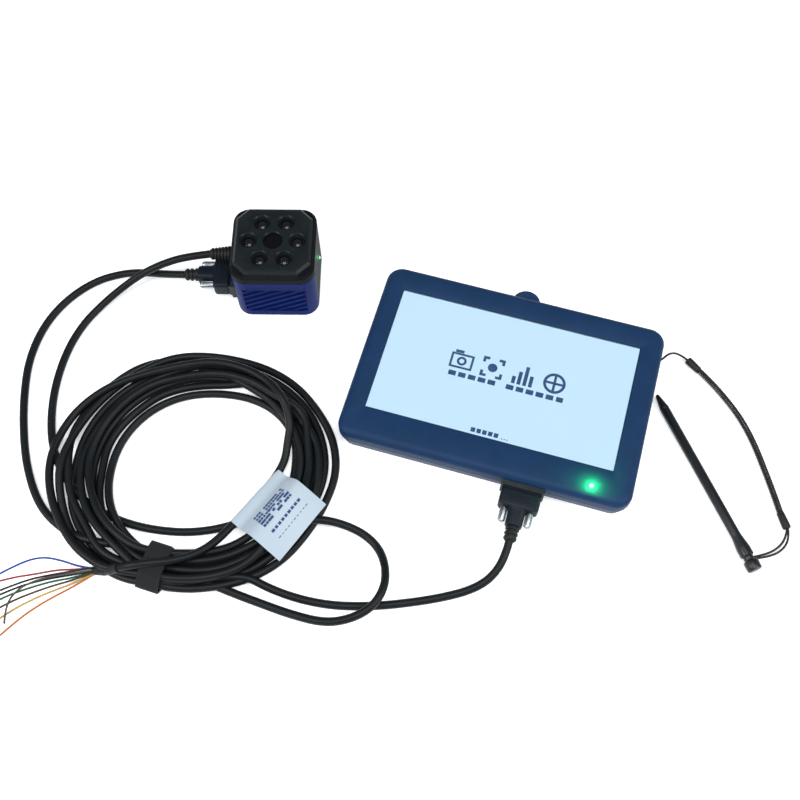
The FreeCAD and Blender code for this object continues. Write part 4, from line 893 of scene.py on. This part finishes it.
def flatFrame(made, ringOuter, ringInner):
    low, high = marks["level"]
    section = ((ringOuter, low), (ringOuter, high), (ringInner, high), (ringInner, low))
    bridge(made, [[spot(x, y, level) for x, y in ring] for ring, level in section], closed=True)


def disc(x, y, radius, sides=36):
    angles = [2 * math.pi * k / sides for k in range(sides)]
    return [(x + radius * math.cos(a), y + radius * math.sin(a)) for a in angles]


def box(x, y, wide, deep):
    return [(x + sx * wide / 2, y + sy * deep / 2) for sx, sy in quarters]


def makeIcons():
    made = bmesh.new()
    first, second, third, fourth = marks["columns"]
    y = marks["iconRow"]
    flatFrame(made, box(first, y - 0.8, 14.6, 10.6), box(first, y - 0.8, 11.8, 7.8))
    flatFrame(made, disc(first, y - 0.8, 3.1), disc(first, y - 0.8, 1.6))
    flatShape(made, box(first - 2.6, y + 5.7, 5.4, 2.0))
    for sx, sy in quarters:
        flatShape(made, [(second + sx * a, y + sy * b) for a, b in marks["bracket"]])
    flatShape(made, disc(second, y, 3.0))
    for index, tall in enumerate(marks["bars"]):
        flatShape(made, box(third - 5.4 + index * 3.6, y - 6.8 + tall / 2, 2.3, tall))
    flatFrame(made, disc(fourth, y, 7.0), disc(fourth, y, 5.2))
    flatShape(made, box(fourth, y, 10.8, 1.6))
    flatShape(made, box(fourth, y, 1.6, 10.8))
    return closePiece("icons", made, finishes["screenMark"], displayMatrix)


def markSeed(long, tall, corner):
    low, high = (level - marks["level"][0] for level in marks["level"])
    return ringsPiece("markSeed", [roundedRing(long, tall, corner, level, steps=2) for level in (low, high)],
                      finishes["screenMark"])


def markRow(name, row, corner, number):
    row = {"rows": 1, "rowStep": 1.0, "keep": 1.0, "vary": 0.08, **row}
    return growPiece(name, rowsTree, {
        "Piece": markSeed(row["long"], row["tall"], corner), "Columns": row["columns"], "Rows": row["rows"],
        "Column Step": row["step"] * mm, "Row Step": row["rowStep"] * mm, "Keep": row["keep"],
        "Vary": row["vary"], "Seed": number, "Finish": finishes["screenMark"]})


screenRows = [
    {"x": -32.6, "y": -3.1, "long": 4.5, "tall": 3.3, "columns": 5, "step": 6.3},
    {"x": 4.2, "y": -3.1, "long": 4.5, "tall": 3.3, "columns": 6, "step": 6.3},
    {"x": -10.4, "y": -37, "long": 2.6, "tall": 2.9, "columns": 5, "step": 3.6},
    {"x": 7.8, "y": -38.2, "long": 0.7, "tall": 0.7, "columns": 3, "step": 1.6},
]
screenPieces = [makeIcons()]
for row in screenRows:
    grown = markRow("screenRow", row, 0.15, 3)
    grown.data.transform(displayMatrix @ Matrix.Translation(spot(row["x"], row["y"], marks["level"][0])))
    screenPieces.append(grown)
keepPiece(joinPieces("screenMarks", screenPieces), "kit")

displayLightProfile = [(along, radius * statusLight["displayTimes"])
                       for along, radius in statusLight["profile"]]
displayLightHeight = highest("display_status_light") / mm - statusLight["displaySunk"]
displayLightMatrix = displayMatrix @ Matrix.Translation(spot(*statusLight["display"], displayLightHeight))
displayLight = ringsPiece("displayLight", turnedRings(displayLightProfile, statusLight["sides"]),
                          finishes["greenLight"], displayLightMatrix)
keepPiece(displayLight, "kit", "display_status_light")
print("display made")

# strap, label and sleeve on the cables

def makeStrap():
    half, outer, inner = strap["half"], strap["outer"], strap["inner"]
    outline = [(outer, -half + 0.3), (outer, 0), (outer, half - 0.3), (outer - 0.25, half), (inner, half),
               (inner, -half), (outer - 0.25, -half)]
    flapOutline = [(outer - 0.1, -half + 0.5), (strap["flapOuter"], -half + 0.5),
                   (strap["flapOuter"], half - 0.5), (outer - 0.1, half - 0.5)]
    angles = [360 * k / strap["steps"] for k in range(strap["steps"])]
    made = bmesh.new()
    bridge(made, [[strapPoint(a, offset, along) for a in angles] for offset, along in outline], closed=True)
    start, end = strap["flap"]
    flapAngles = [start + (end - start) * k / (strap["flapSteps"] - 1) for k in range(strap["flapSteps"])]
    bridge(made, [[strapPoint(a, offset, along) for offset, along in flapOutline] for a in flapAngles])
    return closePiece("coilStrap", made, finishes["strapWeave"])


coilStrap = keepPiece(makeStrap(), "kit", "coil_strap")

label = {"fold": (6.6, -137.5), "alongEnd": (-19, -172.4), "acrossEnd": (38.8, -163.9), "tall": 43.2,
         "wide": 41.2, "cableIn": 2.9, "wrap": 2.9, "low": 3.2, "rise": 0.105, "crest": 17.2,
         "start": 6.5, "end": 20.0, "fall": 0.13, "layers": 0.3, "thick": 0.1, "steps": 24,
         "turnSteps": 12, "markLift": 0.1, "markThick": 0.6}
labelStart = Vector((*label["fold"], 0))
labelAlong = (Vector((*label["alongEnd"], 0)) - labelStart).normalized()
labelAcross = (Vector((*label["acrossEnd"], 0)) - labelStart).normalized()


def labelTop(u, v):
    # the flag's upper face: low beside its cable, then up to a crest, then falling slowly
    base = label["low"] + label["rise"] * v + label["wrap"]
    t = min(1.0, max(0.0, (u - label["start"]) / (label["end"] - label["start"])))
    crest = label["crest"] - label["fall"] * max(0.0, u - label["end"] - 3) + 0.35 * math.sin(v * 0.13 + 0.6)
    crease = 0.5 * math.exp(-((u - label["start"] - 1.0) / 2.0) ** 2)
    return base + (crest - base) * t * t * (3 - 2 * t) - crease


def labelSpot(u, v, height):
    place = labelStart + labelAcross * u + labelAlong * v
    return spot(place.x, place.y, height)


def makeLabel():
    made = bmesh.new()
    steps, turnSteps, wrap = label["steps"], label["turnSteps"], label["wrap"]
    reach = [label["wide"] - k * (label["wide"] - label["cableIn"]) / steps for k in range(steps)]
    turn = [math.radians(90 + 180 * k / turnSteps) for k in range(turnSteps + 1)]
    rings = []
    for k in range(steps + 1):
        v = label["tall"] * k / steps
        middle = label["low"] + label["rise"] * v
        line = [labelSpot(u, v, labelTop(u, v)) for u in reach]
        line += [labelSpot(label["cableIn"] + wrap * math.cos(a), v, middle + wrap * math.sin(a))
                 for a in turn[:-3]]
        line += [labelSpot(label["cableIn"] + 0.6, v, middle - wrap + 0.5)]
        line += [labelSpot(u, v, labelTop(u, v) - label["layers"])
                 for u in reversed(reach) if u > label["start"] + 1]
        rings.append([made.verts.new(p) for p in line])
    for near, far in zip(rings, rings[1:]):
        for a, b, c, d in zip(near, near[1:], far[1:], far):
            made.faces.new((a, b, c, d))
    bmesh.ops.recalc_face_normals(made, faces=made.faces)
    bmesh.ops.solidify(made, geom=made.faces[:], thickness=label["thick"] * mm)
    return closePiece("labelSheet", made, finishes["labelFilm"], sharp=60)


labelRows = [
    {"u": 12.2, "v": 10.0, "long": 1.8, "tall": 1.6, "columns": 12, "rows": 5, "step": 2.1, "rowStep": 2.25,
     "keep": 0.86, "vary": 0.3},
    {"u": 27.0, "v": 9.0, "long": 2.1, "tall": 1.7, "columns": 9, "step": 2.9, "vary": 0.12},
    {"u": 32.4, "v": 8.0, "long": 1.5, "tall": 0.4, "columns": 10, "step": 2.7, "vary": 0.3},
]
labelPieces = [makeLabel()]
for number, row in enumerate(labelRows, start=5):
    grown = markRow("labelRow", row, 0.12, number)
    for vertex in grown.data.vertices:
        v, u, lift = row["v"] + vertex.co.x / mm, row["u"] + vertex.co.y / mm, vertex.co.z / mm
        vertex.co = labelSpot(u, v, labelTop(u, v) + label["markLift"] + lift * label["markThick"])
    labelPieces.append(grown)
cableLabel = keepPiece(joinPieces("cableLabel", labelPieces), "kit", "cable_label")

sleeve = {"long": 19.0, "bulge": 0.62, "tip": 0.1, "swell": 2.5, "waves": 20, "sides": 28}
ioLine = centreLine(ioRoute)
sleeveLine = [ioLine[-1]]
for place in reversed(ioLine[:-1]):
    if lineLength(sleeveLine) > sleeve["long"] * mm:
        break
    sleeveLine.append(place)
sleeveRings = []
for index in range(1, len(sleeveLine)):
    share = index / (len(sleeveLine) - 1)
    swell = min(1.0, share * sleeve["swell"])
    thick = (cable["diameter"] / 2 + sleeve["tip"]
             + sleeve["bulge"] * swell * (0.85 + 0.15 * math.sin(share * sleeve["waves"])))
    corner = frameAlong(sleeveLine[index], sleeveLine[index] - sleeveLine[index - 1])
    sleeveRings.append([corner @ Vector(p) for p in turnedRings([(0, thick)], sleeve["sides"])[0]])
endSleeve = ringsPiece("ioEndSleeve", sleeveRings, finishes["reliefRubber"])
keepPiece(endSleeve, "kit", "io_end_sleeve")

copper = {"long": 3.0, "strand": 0.16, "splay": 0.35, "strands": 6, "sides": 6}


def makeCopper():
    # bare strands at the end of each wire
    made = bmesh.new()
    chance = random.Random(4)
    low = [cadBox[0][k] + 0.3 * mm for k in range(3)]
    for _, points in wires.values():
        end, run = spot(*points[-1]), (Vector(points[-1]) - Vector(points[-2])).normalized()
        for _ in range(copper["strands"]):
            off = Vector([chance.uniform(-1, 1) * copper["splay"] * mm for _ in range(3)])
            tip = end + run * copper["long"] * mm * chance.uniform(0.7, 1) + off * 2
            tip = Vector([max(a, b) for a, b in zip(tip, low)])
            start = end - run * 0.3 * mm + off * 0.7
            start.z = max(start.z, low[2])
            corner = frameAlong(start, tip - start)
            long = (tip - start).length / mm
            profile = [(0, copper["strand"]), (long * 0.5, copper["strand"]), (long, copper["strand"] * 0.7)]
            rings = turnedRings(profile, copper["sides"])
            bridge(made, [[corner @ Vector(p) for p in ring] for ring in rings])
    return closePiece("copperStrands", made, finishes["copperStrand"])


keepPiece(makeCopper(), "kit")
print("strap, label and sleeve made")

# stylus and its ferrules

stylus = {"tip": (243.8, -83.9, 3.0), "heading": -67.6, "rise": 0.7,
          "profile": [(0, 0), (0.12, 0.7), (0.5, 1.05), (1.2, 1.3), (9.6, 2.85), (10.3, 3.0), (10.9, 2.9),
                      (11.1, 3.0), (99.8, 3.0), (101.5, 3.1), (107.5, 3.9), (109.3, 4.1), (113.6, 4.1),
                      (113.9, 3.7), (114.4, 3.05), (116.4, 3.0), (116.8, 3.3), (117.1, 4.1), (117.8, 4.4),
                      (122.3, 4.4), (123.1, 4.1), (123.4, 3.4), (123.4, 0)]}
heading, rise = math.radians(stylus["heading"]), math.radians(stylus["rise"])
stylusRun = (math.cos(heading) * math.cos(rise), math.sin(heading) * math.cos(rise), math.sin(rise))
stylusPiece = ringsPiece("stylus", turnedRings(stylus["profile"], 48), finishes["stylusBody"],
                         frameAlong(spot(*stylus["tip"]), stylusRun))
keepPiece(stylusPiece, "kit", "stylus")

ferrules = [((266.2, -59, 2.8), (272.2, -65.8, 2.5)), ((313.6, -171, 2.5), (311, -162, 2.5))]
for number, (start, end) in enumerate(ferrules, start=1):
    run = Vector(end) - Vector(start)
    long = run.length
    profile = [(-0.4, 0), (-0.4, 2.1), (-0.1, 2.4), (0.6, 2.49), (long * 0.4, 2.45), (long * 0.7, 2.3),
               (long + 0.3, 2.2), (long + 0.6, 2.0), (long + 0.6, 0)]
    ferrule = ringsPiece("tetherFerrule%d" % number, turnedRings(profile, 28), finishes["reliefRubber"],
                         frameAlong(spot(*start), run))
    keepPiece(ferrule, "kit", "tether_ferrules")
print("stylus made")

lineLength(centreLine(ioRoute))
lineLength(centreLine(dataRoute))
lineLength(centreLine(tether["cord"]))
for strand, route in ((tetherLoop, tether["loop"]), (tetherTwin, tether["twin"])):
    lineLength(centreLine(route))

# CAD nodes that keep their shape

nodeFinish = {
    "heat_sink_base": "blueCoat", "head_seal": "reliefRubber", "head_housing": "blackCover",
    "front_plate": "blackPlate",
    "lens_barrel": "blackPlate", "lens_glass": "lensGlass", "lens_window": "windowGlass",
    "lens_holder": "blackCover",
    "led_chips": "phosphor", "led_board": "circuitBoard", "sensor_board": "circuitBoard",
    "processor_board": "circuitBoard", "display_board": "circuitBoard", "image_sensor": "sensorGlass",
    "board_posts": "brightSteel", "head_screws": "brightSteel", "shell_screws": "brightSteel",
    "head_socket": "blackPlate", "display_socket": "blackPlate", "head_plug_shell": "darkShell",
    "display_plug_shell": "darkShell", "rear_shell": "displayShell", "lcd_panel": "screen",
}
for node, name in nodeFinish.items():
    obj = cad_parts[node]
    for slot in obj.material_slots:
        slot.material = finishes[name]
print("nodes finished:", len(nodeFinish))
